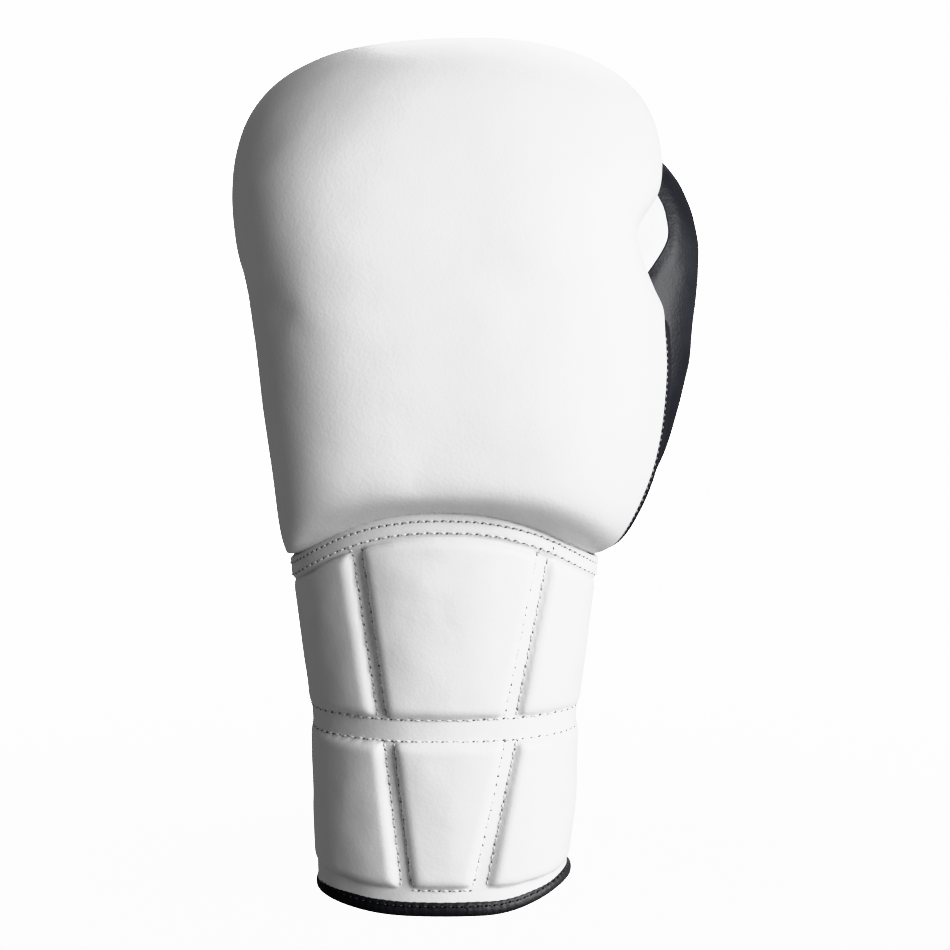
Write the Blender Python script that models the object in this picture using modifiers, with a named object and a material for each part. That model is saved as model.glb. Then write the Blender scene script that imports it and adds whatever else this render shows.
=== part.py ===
"""A left-hand training boxing glove, standing on the hem of its cuff.

The fingers point up (+Z), the back of the hand faces -Y, the palm +Y and the thumb +X.
Sizes below are in millimetres and are turned into metres where a mesh is made.
The origin is the centre of the glove's box, at the hem.

Angles round the hand are in degrees: 0 is the middle of the back, 90 the thumb side and
180 the middle of the palm.
"""

import math

import bmesh
import bpy
import numpy as np
from mathutils import Vector

MM = 0.001
GAP = 0.35  # clearance between touching pieces
LEATHER = 1.5
LINING = 1.1
SLACK = 0.5  # added to the gap where the facets of two curved pieces don't line up

# The model below is drawn about the wrist's axis, and moved by this much to centre its box on the origin.
BOX_CENTRE = (10.38, 3.79)

# ---------------------------------------------------------------- the mitt
# Each station is a rib across the folded fist, seen from the side: the outer end's y and z, the inner
# end's y and z, and the half widths towards the little finger and towards the thumb.
MITT_STATIONS = (
    (-44, 134, 35, 134, 60.5, 59.5),
    (-50.5, 138, 37.5, 138, 62.5, 66),
    (-56, 149, 38, 149, 64, 73),
    (-60, 171, 38, 169, 66, 81),
    (-62.5, 199, 38, 188, 68.5, 84.5),
    (-63, 228, 35, 203, 70.5, 85),
    (-61, 255, 31, 212, 73, 85),
    (-53, 283, 28, 218, 76.5, 85),
    (-36, 307.5, 27, 221, 79.2, 86),
    (-10, 325, 27, 223, 79.6, 87),
    (18, 329.5, 29, 224, 79.2, 86.5),
    (45, 317, 31, 223, 78, 81),
    (62, 294.5, 33, 221, 76, 71),
    (70, 268, 35, 218, 73.5, 59),
    (69, 243, 37, 215, 70.5, 50),
    (62, 224.5, 40, 212, 66.5, 45),
    (55, 216, 43, 208, 60, 40),
)
# The hollow that the hand goes into, at the same stations; it folds round the grip bar.
HAND_STATIONS = (
    (-29, 134, 25, 134, 43, 43),
    (-28.5, 139, 24.5, 139, 43, 43),
    (-28, 150, 24, 150, 43, 43),
    (-27, 171, 20, 170, 43, 43),
    (-26, 200, 16, 194, 43, 43),
    (-25, 232, 13, 222, 43, 43),
    (-23, 254, 10, 232, 43, 43),
    (-16, 274, 10, 240, 43, 43),
    (-5, 288, 11, 248, 42, 42),
    (9, 297, 16, 254, 42, 42),
    (23, 298, 22, 256, 41, 41),
    (37, 290, 28, 254, 40, 38),
    (48, 276, 32, 249, 39, 34),
    (53, 259, 35, 243, 37, 30),
    (50, 244, 38, 239, 30, 24),
    (44, 240, 44, 240, 0.5, 0.5),
)
ARCH_RISE = 17  # the mitt's lower edge arches up this much at the middle of the back
BACK_SEAM_OUTER, BACK_SEAM_THUMB = -115, 84
SEAM_GAP = 1.6  # degrees between two panels at a seam
TIP_SEAM = 0.93  # share of the mitt's length where the palm leather ends under the fingertips
ROUNDNESS = 2.45  # exponent of the mitt's superelliptic sections
HAND_ROUNDNESS = 2.3
NOTCH_Z, NOTCH_LENGTH, NOTCH_DEPTH = 254, 11, 11  # the hollow between the fist and the thumb
NOTCH_LAST_SHARE = 0.62  # beyond this share the mitt has folded over and there is no thumb beside it
FOAM_SPLIT = (0.49, 0.52)  # the knuckle padding's two layers meet at these shares of its depth
GRIP_LENGTH, GRIP_RADIUS = 66, 8.5
GRIP_CENTRE = (0, 22.3, 242)

# ---------------------------------------------------------------- the thumb
# Level sections of the thumb: z, centre x and y, half width in x and in y.
THUMB_SECTIONS = (
    (136, 44, 16, 20, 16),
    (147, 50, 19, 24.5, 20),
    (159, 54, 22, 26, 23),
    (171, 57.5, 24, 27.3, 25),
    (183, 61, 26, 27.8, 26.5),
    (195, 64.5, 28, 28.3, 27),
    (207, 67.3, 30, 28.7, 27.5),
    (219, 69.5, 32, 28.5, 27.5),
    (231, 71.3, 34.5, 28.3, 27),
    (243, 72.6, 37, 27.8, 26.5),
    (255, 73.4, 39.5, 27, 25.5),
    (267, 73.4, 42, 25, 23.5),
    (279, 72.6, 44, 21, 19.5),
    (288, 71.5, 45, 14, 13.5),
    (293, 71, 45.5, 0.5, 0.5),
)
THUMB_POCKET = (
    (31, 0, 143),
    (44, 11, 160),
    (57, 22, 181),
    (66.5, 30, 207),
    (71, 35.5, 232),
    (72.5, 41, 262),
)
POCKET_RADIUS = 11.5
POCKET_RINGS, POCKET_SIDES = 8, 12
POCKET_DOME = (40, 75)  # degrees round the dome of the two rings that close the pocket
POCKET_MOUTH = 0.13  # share of the path where the lining starts, inside the hollow of the hand
THUMB_SEAM_BACK, THUMB_SEAM_INNER = 28, -80  # the pale back panel lies between these angles
THUMB_WEB_Z, THUMB_TIP_Z = 243, 287  # and between these heights

# ---------------------------------------------------------------- the cuff
# Height, half width, back depth and palm depth of the cuff's stiff backing.
CUFF_RINGS = (
    (0, 45, 36.5, 32.5),
    (30, 45.6, 37.2, 32.6),
    (60, 46.2, 38, 32.8),
    (80, 47.3, 39, 33),
    (100, 49.7, 40.2, 33),
    (118, 52, 41.4, 33.2),
    (134, 54.3, 42.2, 33.4),
    (158, 56.5, 43, 33.6),
)
BACKING = 3.0
PAD_RISE = 3.4
PAD_SHOULDER = 4.0
PAD_FOAM_MARGIN = 1.2  # the foam of a pad stops this far inside its leather
FLAP_RISE, FLAP_SPAN, FLAP_EDGE = 2.0, 52, 8  # height of the palm flaps' padding, their width and flat edges
BASE = 1.6  # the layers of the cuff start this far above the ground, inside the hem binding
EDGE_ROOM = 2.2  # degrees that the layers stop short of the slit, for its binding
SIDE_SEAM = 108
SLIT_HALF_WIDTH = 4.5  # half the opening between the palm flaps, at the palm
BINDING_TURN = 3.2  # degrees of the cuff that the binding of the slit covers
HEM_HEIGHT = 5.6
HEM_BAND_TOP, CHANNEL_BOTTOM, CHANNEL_TOP = 9.2, 64.6, 73.2
BAND_WIDTH = 11
# x of the middle of the stitched channels between the back pads, at the lower and the upper end of
# each row of pads.
LOWER_CHANNELS = ((-13.7, -20.0), (13.1, 24.6))
UPPER_CHANNELS = ((-22.8, -32.4), (25.0, 37.4))
CHANNEL_HALF_WIDTH = 2.2
FACET = 9  # the longest flat facet round the cuff

# ---------------------------------------------------------------- the strap, on the palm side
STRAP_LOW, STRAP_HIGH = 38, 84
STRAP_UNDER, STRAP_THICK = 6.9, 2.0
ANCHOR_START, STRAP_ROOT, STRAP_FOLD, STRAP_END = 122, 136, 181, 232
STRAP_GAP = 0.35  # degrees between the anchor, the elastic and the tab
PATCH_MARGIN, PATCH_THICK = 4, 0.9

EYELETS = ((-24, 168), (-8, 168), (8, 168), (-16, 181), (0, 181), (16, 181))  # x and z on the palm
EYELET_RADIUS, EYELET_BORE = 3.0, 1.8
EYELET_FLANGE, EYELET_WALL, EYELET_DEPTH = 0.7, 0.7, 2.2

MATERIALS = {
    "white_leather": ((0.86, 0.86, 0.86), 0.42),
    "black_leather": ((0.018, 0.018, 0.02), 0.38),
    "foam": ((0.62, 0.60, 0.55), 0.9),
    "lining": ((0.06, 0.06, 0.065), 0.85),
    "webbing": ((0.03, 0.03, 0.032), 0.8),
    "eyelet": ((0.05, 0.05, 0.05), 0.35),
}


# ---------------------------------------------------------------- curves and sections
def along(rows, share):
    """The row at share (0 to 1) of a table, on a smooth curve through its rows."""
    table = np.asarray(rows, float)
    at = min(max(share, 0.0), 1.0) * (len(table) - 1)
    i = min(int(at), len(table) - 2)
    t = at - i
    before, after = table[max(i - 1, 0)], table[min(i + 2, len(table) - 1)]
    here, there = table[i], table[i + 1]
    return 0.5 * (
        2 * here
        + (there - before) * t
        + (2 * before - 5 * here + 4 * there - after) * t**2
        + (3 * here - before - 3 * there + after) * t**3
    )


def at_height(rows, z):
    """The rest of the row at height z, of a table that starts with z."""
    table = np.asarray(rows, float)
    return np.array([np.interp(z, table[:, 0], table[:, k]) for k in range(1, table.shape[1])])


def squared(value, exponent):
    return math.copysign(abs(value) ** (2 / exponent), value)


def arch(angle):
    return ARCH_RISE * max(0.0, math.cos(math.radians(angle))) ** 2


def lower_edge_lift(share, angle):
    """How far the arch of the lower edge lifts the first few ribs of the mitt."""
    return arch(angle) * max(0.0, 1 - share * (len(MITT_STATIONS) - 1) / 4)


def mitt_point(share, angle, inset=0.0):
    """A point of the mitt's outside, or of the same surface drawn in by inset."""
    outer_y, outer_z, inner_y, inner_z, left, right = along(MITT_STATIONS, share)
    turn = math.radians(angle)
    half = max(math.hypot(outer_y - inner_y, outer_z - inner_z) / 2, 0.05)
    rib_y, rib_z = (outer_y - inner_y) / 2 / half, (outer_z - inner_z) / 2 / half
    across = squared(math.sin(turn), ROUNDNESS)
    along_rib = squared(math.cos(turn), ROUNDNESS)
    z = (outer_z + inner_z) / 2
    width = right if across > 0 else left
    if across > 0:
        beside = max(0.0, math.cos(math.radians(angle - 90))) ** 4
        if share < NOTCH_LAST_SHARE:
            width -= NOTCH_DEPTH * beside * math.exp(-(((z - NOTCH_Z) / NOTCH_LENGTH) ** 2))
    reach = max(half - inset, 0.02 * half) * along_rib
    return (
        max(width - inset, 0.02 * width) * across,
        (outer_y + inner_y) / 2 + rib_y * reach,
        z + rib_z * reach + lower_edge_lift(share, angle),
    )


def hand_point(share, angle, outset=0.0):
    """A point of the wall of the hollow that the hand goes into."""
    outer_y, outer_z, inner_y, inner_z, left, right = along(HAND_STATIONS, share)
    turn = math.radians(angle)
    half = max(math.hypot(outer_y - inner_y, outer_z - inner_z) / 2, 0.05)
    rib_y, rib_z = (outer_y - inner_y) / 2 / half, (outer_z - inner_z) / 2 / half
    across = squared(math.sin(turn), HAND_ROUNDNESS)
    reach = (half + outset) * squared(math.cos(turn), HAND_ROUNDNESS)
    width = right if across > 0 else left
    return (
        (width + outset) * across,
        (outer_y + inner_y) / 2 + rib_y * reach,
        (outer_z + inner_z) / 2 + rib_z * reach,
    )


def thumb_point(z, angle, inset=0.0):
    centre_x, centre_y, half_x, half_y = at_height(THUMB_SECTIONS, z)
    turn = math.radians(angle)
    return (
        centre_x + max(half_x - inset, 0.3) * math.sin(turn),
        centre_y - max(half_y - inset, 0.3) * math.cos(turn),
        z,
    )


def cuff_point(angle, z, out=0.0):
    """A point on the cuff's backing, or out from it."""
    half_width, back, palm = at_height(CUFF_RINGS, z)
    turn = math.radians(angle)
    depth = back if math.cos(turn) > 0 else palm
    return ((half_width + out) * math.sin(turn), -(depth + out) * math.cos(turn), z)


def junction(angle):
    """Height of the seam between the cuff and the mitt."""
    return MITT_STATIONS[0][1] + arch(angle)


def angle_of(x, z):
    """The angle on the back of the cuff where its surface has this x."""
    half_width = at_height(CUFF_RINGS, z)[0]
    return math.degrees(math.asin(x / (half_width + 1.5)))


def slit_angle(z):
    """The angle from the middle of the palm to the edge of the slit."""
    return math.degrees(math.asin(SLIT_HALF_WIDTH / at_height(CUFF_RINGS, z)[0]))


# ---------------------------------------------------------------- meshes
def in_metres(point):
    return (
        (point[0] - BOX_CENTRE[0]) * MM,
        (point[1] - BOX_CENTRE[1]) * MM,
        point[2] * MM,
    )


def material(name):
    made = bpy.data.materials.get(name)
    if made:
        return made
    colour, roughness = MATERIALS[name]
    made = bpy.data.materials.new(name)
    made.use_nodes = True
    surface = made.node_tree.nodes["Principled BSDF"]
    surface.inputs["Base Color"].default_value = (*colour, 1)
    surface.inputs["Roughness"].default_value = roughness
    made.diffuse_color = (*colour, 1)
    return made


def add_object(name, mesh, material_name, collection):
    obj = bpy.data.objects.new(name, mesh)
    if material_name:
        mesh.materials.append(material(material_name))
    collection.objects.link(obj)
    return obj


def mesh_of(name, points, faces):
    """A mesh of the faces, without unused or doubled points; the points are in millimetres."""
    bm = bmesh.new()
    verts = [bm.verts.new(in_metres(p)) for p in points]
    for face in faces:
        bm.faces.new([verts[i] for i in face])
    bmesh.ops.delete(bm, geom=[v for v in bm.verts if not v.link_faces], context="VERTS")
    bmesh.ops.remove_doubles(bm, verts=bm.verts, dist=1e-6)
    bmesh.ops.dissolve_degenerate(bm, edges=bm.edges, dist=1e-6)
    for face in bm.faces:
        face.smooth = True
    mesh = bpy.data.meshes.new(name)
    bm.to_mesh(mesh)
    bm.free()
    return mesh


def sheet(name, surface, rows, columns, thickness, material_name, collection, keep=None):
    """A sheet of even thickness inside the surface: surface(row, column) over a grid, then Solidify.

    keep(row, column), with the middle of a face, says which faces the sheet has. Rows run up the
    glove and columns round it towards the thumb, so that the faces point out.
    """
    points = [surface(r, c) for r in rows for c in columns]
    width = len(columns)
    faces = [
        (i * width + j, i * width + j + 1, (i + 1) * width + j + 1, (i + 1) * width + j)
        for i in range(len(rows) - 1)
        for j in range(width - 1)
        if keep is None or keep((rows[i] + rows[i + 1]) / 2, (columns[j] + columns[j + 1]) / 2)
    ]
    obj = add_object(name, mesh_of(name, points, faces), material_name, collection)
    modifier = obj.modifiers.new("thickness", "SOLIDIFY")
    modifier.thickness = thickness * MM
    modifier.offset = -1
    return obj


def slab(name, outside, inside, rows, columns, material_name, collection):
    """A closed solid between two surfaces over the same grid: a loft between unlike sections."""
    width, count = len(columns), len(rows) * len(columns)
    points = [outside(r, c) for r in rows for c in columns] + [inside(r, c) for r in rows for c in columns]
    faces = []
    for i in range(len(rows) - 1):
        for j in range(width - 1):
            a, b = i * width + j, (i + 1) * width + j
            faces += [(a, a + 1, b + 1, b), (count + a, count + b, count + b + 1, count + a + 1)]
        first, last = i * width, i * width + width - 1
        faces.append((first, first + width, count + first + width, count + first))
        faces.append((last, count + last, count + last + width, last + width))
    top = (len(rows) - 1) * width
    for j in range(width - 1):
        faces.append((j, count + j, count + j + 1, j + 1))
        faces.append((top + j, top + j + 1, count + top + j + 1, count + top + j))
    return add_object(name, mesh_of(name, points, faces), material_name, collection)


def steps(first, last, count):
    return [first + (last - first) * k / count for k in range(count + 1)]


def cutter(name, mesh, collection):
    obj = add_object(name, mesh, None, collection)
    obj.hide_render = True
    obj.display_type = "WIRE"
    return obj


def cut(obj, tool):
    modifier = obj.modifiers.new("cut", "BOOLEAN")
    modifier.operation = "DIFFERENCE"
    modifier.object = tool
    modifier.use_self = True


def closed_form(name, ring, rows, count, collection):
    """A closed cutter: rings ring(row, angle) of count points each, with a cap at each end."""
    bm = bmesh.new()
    rings = [[bm.verts.new(in_metres(ring(r, 360 * k / count))) for k in range(count)] for r in rows]
    for below, above in zip(rings, rings[1:]):
        for k in range(count):
            n = (k + 1) % count
            bm.faces.new((below[k], below[n], above[n], above[k]))
    for ends in (rings[0], rings[-1]):
        centre = bm.verts.new(sum((v.co for v in ends), Vector()) / count)
        for k in range(count):
            bm.faces.new((centre, ends[k], ends[(k + 1) % count]))
    bmesh.ops.recalc_face_normals(bm, faces=bm.faces)
    mesh = bpy.data.meshes.new(name)
    bm.to_mesh(mesh)
    bm.free()
    return cutter(name, mesh, collection)


# ---------------------------------------------------------------- the mitt's pieces
MITT_ROWS = [0, 0.05, 0.1, 0.16] + steps(0.22, TIP_SEAM, 15) + [1.0]
BACK_COLUMNS = steps(BACK_SEAM_OUTER, BACK_SEAM_THUMB, 14)


def make_mitt(parts):
    under_columns = steps(BACK_SEAM_THUMB, 360 + BACK_SEAM_OUTER, 6)[1:]

    def on_back(share, angle):
        return share > TIP_SEAM or angle < BACK_SEAM_THUMB

    back = sheet(
        "mitt_back_panel",
        lambda share, angle: mitt_point(share, angle),
        MITT_ROWS,
        BACK_COLUMNS + under_columns,
        LEATHER,
        "white_leather",
        parts,
        on_back,
    )
    palm = sheet(
        "mitt_palm_panel",
        lambda share, angle: mitt_point(share, angle),
        MITT_ROWS[:-2],
        steps(BACK_SEAM_THUMB + SEAM_GAP, 360 + BACK_SEAM_OUTER - SEAM_GAP, 8),
        LEATHER,
        "black_leather",
        parts,
    )
    return back, palm


def foam_between(low, high):
    """Both faces of a layer of padding, at shares of the way from the hollow to the leather."""

    def surface(share, angle, part):
        inner = np.array(hand_point(min(share / TIP_SEAM, 1), angle, LINING + GAP + 2 * SLACK))
        inner[2] += lower_edge_lift(share, angle)
        outer = np.array(mitt_point(share, angle, LEATHER + GAP + 2 * SLACK))
        return tuple(inner + (outer - inner) * part)

    return (lambda s, a: surface(s, a, high)), (lambda s, a: surface(s, a, low))


def make_mitt_padding(parts):
    made = []
    for name, low, high in (
        ("knuckle_foam_outer", FOAM_SPLIT[1], 1.0),
        ("knuckle_foam_inner", 0.0, FOAM_SPLIT[0]),
    ):
        outside, inside = foam_between(low, high)
        made.append(slab(name, outside, inside, MITT_ROWS[2:-4], BACK_COLUMNS[1:-1], "foam", parts))
    outside, inside = foam_between(0.0, 1.0)
    made.append(slab("palm_foam", outside, inside, steps(0.09, 0.24, 4), steps(126, 222, 8), "foam", parts))
    return made


def make_hand_lining(parts):
    return sheet(
        "hand_lining",
        lambda share, angle: hand_point(share, angle, LINING),
        steps(0.005, 0.8, 11) + [0.88, 0.95, 1.0],
        steps(0, 360, 16),
        LINING,
        "lining",
        parts,
    )


def make_grip_bar(parts):
    """The roll that the fingers close on, across the fold of the hand's hollow."""
    bpy.ops.mesh.primitive_cylinder_add(vertices=20, radius=GRIP_RADIUS * MM, depth=GRIP_LENGTH * MM)
    obj = bpy.context.object
    obj.name = obj.data.name = "grip_bar"
    obj.rotation_euler = (0, math.pi / 2, 0)
    obj.location = in_metres(GRIP_CENTRE)
    obj.data.materials.append(material("foam"))
    for holder in list(obj.users_collection):
        holder.objects.unlink(obj)
    parts.objects.link(obj)
    rounding = obj.modifiers.new("rounding", "BEVEL")
    rounding.width = 2.5 * MM
    rounding.segments = 2
    return obj


# ---------------------------------------------------------------- the thumb's pieces
def make_thumb(parts, cutters):
    mitt_form = closed_form(
        "cut_mitt_form", lambda share, angle: mitt_point(share, angle, -GAP - SLACK), MITT_ROWS, 40, cutters
    )
    heights = [144, 154, 166, 180, 196, 212, 228, THUMB_WEB_Z, 254, 265, 275, 282, THUMB_TIP_Z, 293]
    pale = steps(THUMB_SEAM_INNER, THUMB_SEAM_BACK, 5)
    dark = steps(THUMB_SEAM_BACK, 360 + THUMB_SEAM_INNER, 9)[1:]

    def is_dark(z, angle):
        return not (THUMB_WEB_Z < z < THUMB_TIP_Z and angle < THUMB_SEAM_BACK)

    outer = sheet(
        "thumb_outer_panel",
        thumb_point,
        heights,
        pale + dark,
        LEATHER,
        "black_leather",
        parts,
        is_dark,
    )
    back = sheet(
        "thumb_back_panel",
        thumb_point,
        [THUMB_WEB_Z + 0.4, 254, 265, 275, 282, THUMB_TIP_Z - 0.4],
        steps(THUMB_SEAM_INNER + 2, THUMB_SEAM_BACK - 2, 5),
        LEATHER,
        "white_leather",
        parts,
    )
    inset = LEATHER + GAP + 2 * SLACK
    outer_foam = slab(
        "thumb_foam_outer",
        lambda z, a: thumb_point(z, a, inset),
        lambda z, a: pocket_wall(z, a),
        steps(172, 284, 7),
        steps(-20, 196, 9),
        "foam",
        parts,
    )
    inner_foam = slab(
        "thumb_foam_inner",
        lambda z, a: thumb_point(z, a, inset),
        lambda z, a: pocket_wall(z, a),
        steps(226, 284, 4),
        steps(199, 337, 6),
        "foam",
        parts,
    )
    for obj in (outer, back, outer_foam, inner_foam):
        cut(obj, mitt_form)
    return outer, back, outer_foam, inner_foam


def pocket_wall(z, angle):
    """The inner face of the thumb's padding, outside the pocket's lining, tapering to its end."""
    path = np.array(THUMB_POCKET, float)
    x, y = (np.interp(z, path[:, 2], path[:, k]) for k in (0, 1))
    radius = POCKET_RADIUS + LINING + GAP + 1.1
    beyond = z - path[-1, 2]
    if beyond > 0:
        radius = math.sqrt(max(radius**2 - beyond**2 * 0.36, 1.0))
    turn = math.radians(angle)
    return (x + radius * math.sin(turn), y - radius * math.cos(turn), z)


def tube_mesh(radius, first=0.0):
    """Points, faces and sides of a tube along the thumb's pocket with a closed, domed far end."""
    last, count = POCKET_RINGS - 1, POCKET_SIDES
    spots = [Vector(along(THUMB_POCKET, share)) for share in steps(first, 1, last)]
    rings = []
    for k, spot in enumerate(spots):
        ahead = (spots[min(k + 1, last)] - spots[max(k - 1, 0)]).normalized()
        side = ahead.cross(Vector((0, 1, 0))).normalized()
        rings.append((spot, side, ahead.cross(side).normalized(), radius))
    ahead = (spots[last] - spots[last - 1]).normalized()
    _, side, up, _ = rings[last]
    for turn in POCKET_DOME:
        lift = math.radians(turn)
        rings.append((spots[last] + ahead * radius * math.sin(lift), side, up, radius * math.cos(lift)))
    points = [
        tuple(
            spot
            + side * size * math.cos(2 * math.pi * k / count)
            + up * size * math.sin(2 * math.pi * k / count)
        )
        for spot, side, up, size in rings
        for k in range(count)
    ]
    faces = [
        (i * count + k, i * count + (k + 1) % count, (i + 1) * count + (k + 1) % count, (i + 1) * count + k)
        for i in range(len(rings) - 1)
        for k in range(count)
    ]
    faces.append(tuple((len(rings) - 1) * count + k for k in range(count)))
    return points, faces, count


def make_pocket(parts, cutters):
    """The thumb's lining, and the cutter that makes room for it in everything it passes through."""
    points, faces, count = tube_mesh(POCKET_RADIUS + LINING + GAP + SLACK)
    faces.append(tuple(range(count))[::-1])
    mesh = mesh_of("cut_pocket_room", points, faces)
    bm = bmesh.new()
    bm.from_mesh(mesh)
    bmesh.ops.recalc_face_normals(bm, faces=bm.faces)
    bm.to_mesh(mesh)
    bm.free()
    room = cutter("cut_pocket_room", mesh, cutters)
    points, faces, count = tube_mesh(POCKET_RADIUS + LINING, POCKET_MOUTH)
    lining = add_object("thumb_lining", mesh_of("thumb_lining", points, faces), "lining", parts)
    thickness = lining.modifiers.new("thickness", "SOLIDIFY")
    thickness.thickness = LINING * MM
    thickness.offset = -1
    return lining, room


# ---------------------------------------------------------------- the cuff's pieces
def channel_angles(z):
    """The angles of the middle of the two channels of the back at height z."""
    low, high, channels = (
        (HEM_BAND_TOP, CHANNEL_BOTTOM, LOWER_CHANNELS)
        if z < (CHANNEL_BOTTOM + CHANNEL_TOP) / 2
        else (CHANNEL_TOP, junction(30) - BAND_WIDTH, UPPER_CHANNELS)
    )
    share = min(max((z - low) / (high - low), 0), 1)
    return [angle_of(bottom + (top - bottom) * share, z) for bottom, top in channels]


def edge_angle(z):
    """What half the width of a channel is as an angle."""
    return math.degrees(CHANNEL_HALF_WIDTH / (at_height(CUFF_RINGS, z)[1] + 3))


def pad_cells():
    """Name, lower end, upper end by angle and edge angles by height of each pad on the back."""

    def left(z):
        return -SIDE_SEAM + 4, channel_angles(z)[0] - edge_angle(z)

    def centre(z):
        return channel_angles(z)[0] + edge_angle(z), channel_angles(z)[1] - edge_angle(z)

    def right(z):
        return channel_angles(z)[1] + edge_angle(z), SIDE_SEAM - 4

    for side, edges in (("outer", left), ("centre", centre), ("thumb", right)):
        yield f"lower_{side}", HEM_BAND_TOP, lambda angle: CHANNEL_BOTTOM, edges
        yield f"upper_{side}", CHANNEL_TOP, lambda angle: junction(angle) - BAND_WIDTH, edges


def pad_point(cell, across, up, out):
    """A point over a pad's cell: across and up run from 0 to 1 over it."""
    _, low, top, edges = cell
    z_guess = low + (top(0) - low) * up
    first, last = edges(z_guess)
    angle = first + (last - first) * across
    z = low + (top(angle) - low) * up
    first, last = edges(z)
    return cuff_point(first + (last - first) * across, z, out)


def rise(across, up, width, height):
    """Height of a pad of this width and height over its backing, with rounded shoulders."""
    margin = min(across * width, (1 - across) * width, up * height, (1 - up) * height)
    share = min(max(margin / PAD_SHOULDER, 0), 1)
    return PAD_RISE * math.sqrt(1 - (1 - share) ** 2)


def pad_grid(size, count=3):
    """Shares across a pad of this size: close together over its shoulders, with count steps between them."""
    near = PAD_SHOULDER / size
    return [0, near * 0.3] + steps(near, 1 - near, count) + [1 - near * 0.3, 1]


def make_back_pads(parts):
    """Six stitched pads: the foam of each, and the leather drawn over it."""
    made = []
    for cell in pad_cells():
        name, low, top, edges = cell
        first, last = edges((low + top(0)) / 2)
        width = math.radians(last - first) * at_height(CUFF_RINGS, low)[0]
        height = top(0) - low
        count = max(4, round(width / FACET))
        rows, columns = pad_grid(height), pad_grid(width, count)

        def over(up, across):
            return pad_point(cell, across, up, GAP + LEATHER + rise(across, up, width, height))

        leather = slab(
            f"cuff_pad_{name}",
            over,
            lambda up, across: pad_point(cell, across, up, GAP + rise(across, up, width, height)),
            rows,
            columns,
            "white_leather",
            parts,
        )

        def drawn_in(share, size):
            return (PAD_FOAM_MARGIN + share * (size - 2 * PAD_FOAM_MARGIN)) / size

        def foam_top(up, across):
            up, across = drawn_in(up, height), drawn_in(across, width)
            return pad_point(cell, across, up, max(rise(across, up, width, height) - GAP, GAP + 2 * SLACK))

        def foam_base(up, across):
            return pad_point(cell, drawn_in(across, width), drawn_in(up, height), GAP + SLACK / 2)

        share = PAD_SHOULDER / height * 0.6
        foam_rows = [0, share, 0.5, 1 - share, 1]
        share = PAD_SHOULDER / width * 0.6
        foam_columns = [0] + steps(share, 1 - share, count) + [1]
        foam = slab(f"cuff_foam_{name}", foam_top, foam_base, foam_rows, foam_columns, "foam", parts)
        made += [leather, foam]
    return made


def ribbon(name, low, top, first, last, under, over, parts, material_name, columns, rows=2):
    """A strip of the cuff between two angles and two heights, from under to over out of the backing."""

    def place(up, angle, out):
        floor = low(angle) if callable(low) else low
        ceiling = top(angle) if callable(top) else top
        return cuff_point(angle, floor + (ceiling - floor) * up, out)

    return slab(
        name,
        lambda up, angle: place(up, angle, over),
        lambda up, angle: place(up, angle, under),
        steps(0, 1, rows),
        steps(first, last, columns),
        material_name,
        parts,
    )


def wrap_slab(name, low, top, under, over, parts, material_name, columns, rows):
    """A C-shaped wall of the cuff that stops at both edges of the palm slit."""

    def place(up, across, out):
        z = low + (junction(0) - low) * up
        reach = 180 - slit_angle(z) - EDGE_ROOM
        angle = -reach + 2 * reach * across
        ceiling = top(angle)
        z = low + (ceiling - low) * up
        reach = 180 - slit_angle(z) - EDGE_ROOM
        return cuff_point(-reach + 2 * reach * across, z, out)

    return slab(
        name,
        lambda up, across: place(up, across, over),
        lambda up, across: place(up, across, under),
        steps(0, 1, rows),
        steps(0, 1, columns),
        material_name,
        parts,
    )


def make_cuff_shell(parts):
    def below_junction(angle):
        return junction(angle) - GAP

    wrap_slab("cuff_backing", BASE, below_junction, -BACKING, 0, parts, "foam", 32, 4)
    wrap_slab(
        "cuff_lining", BASE, below_junction, -BACKING - GAP - LINING, -BACKING - GAP, parts, "lining", 32, 4
    )
    ribbon(
        "cuff_top_band",
        lambda a: junction(a) - BAND_WIDTH + GAP,
        below_junction,
        -SIDE_SEAM,
        SIDE_SEAM,
        GAP + SLACK / 2,
        GAP + LEATHER,
        parts,
        "white_leather",
        24,
    )
    ribbon(
        "cuff_cross_channel",
        CHANNEL_BOTTOM + GAP,
        CHANNEL_TOP - GAP,
        -SIDE_SEAM + 4,
        SIDE_SEAM - 4,
        GAP + SLACK / 2,
        GAP + LEATHER,
        parts,
        "white_leather",
        24,
        1,
    )
    ribbon(
        "cuff_hem_band",
        BASE,
        HEM_BAND_TOP - GAP,
        -SIDE_SEAM,
        SIDE_SEAM,
        GAP + SLACK / 2,
        GAP + LEATHER,
        parts,
        "white_leather",
        24,
        1,
    )
    for row, low, high in (
        ("lower", HEM_BAND_TOP + 0.5, lambda side: CHANNEL_BOTTOM - 0.5),
        ("upper", CHANNEL_TOP + 0.5, lambda side: junction(35) - BAND_WIDTH - 2.5),
    ):
        for k, side in enumerate(("outer", "thumb")):
            make_channel(f"cuff_channel_{row}_{side}", low, high(side), k, parts)


def make_channel(name, low, high, which, parts):
    """The flat leather strip between two pads of the back."""

    def place(up, across, out):
        z = low + (high - low) * up
        half = edge_angle(z) - 0.5
        return cuff_point(channel_angles(z)[which] + half * (2 * across - 1), z, out)

    slab(
        name,
        lambda up, across: place(up, across, GAP + LEATHER),
        lambda up, across: place(up, across, GAP),
        steps(0, 1, 4),
        [0, 1],
        "white_leather",
        parts,
    )



def flap_edges(z, sign):
    """First and last angle of a palm flap, from its side seam to the binding of the slit."""
    return sign * (SIDE_SEAM + 0.8), sign * (180 - slit_angle(z) - EDGE_ROOM)


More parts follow.
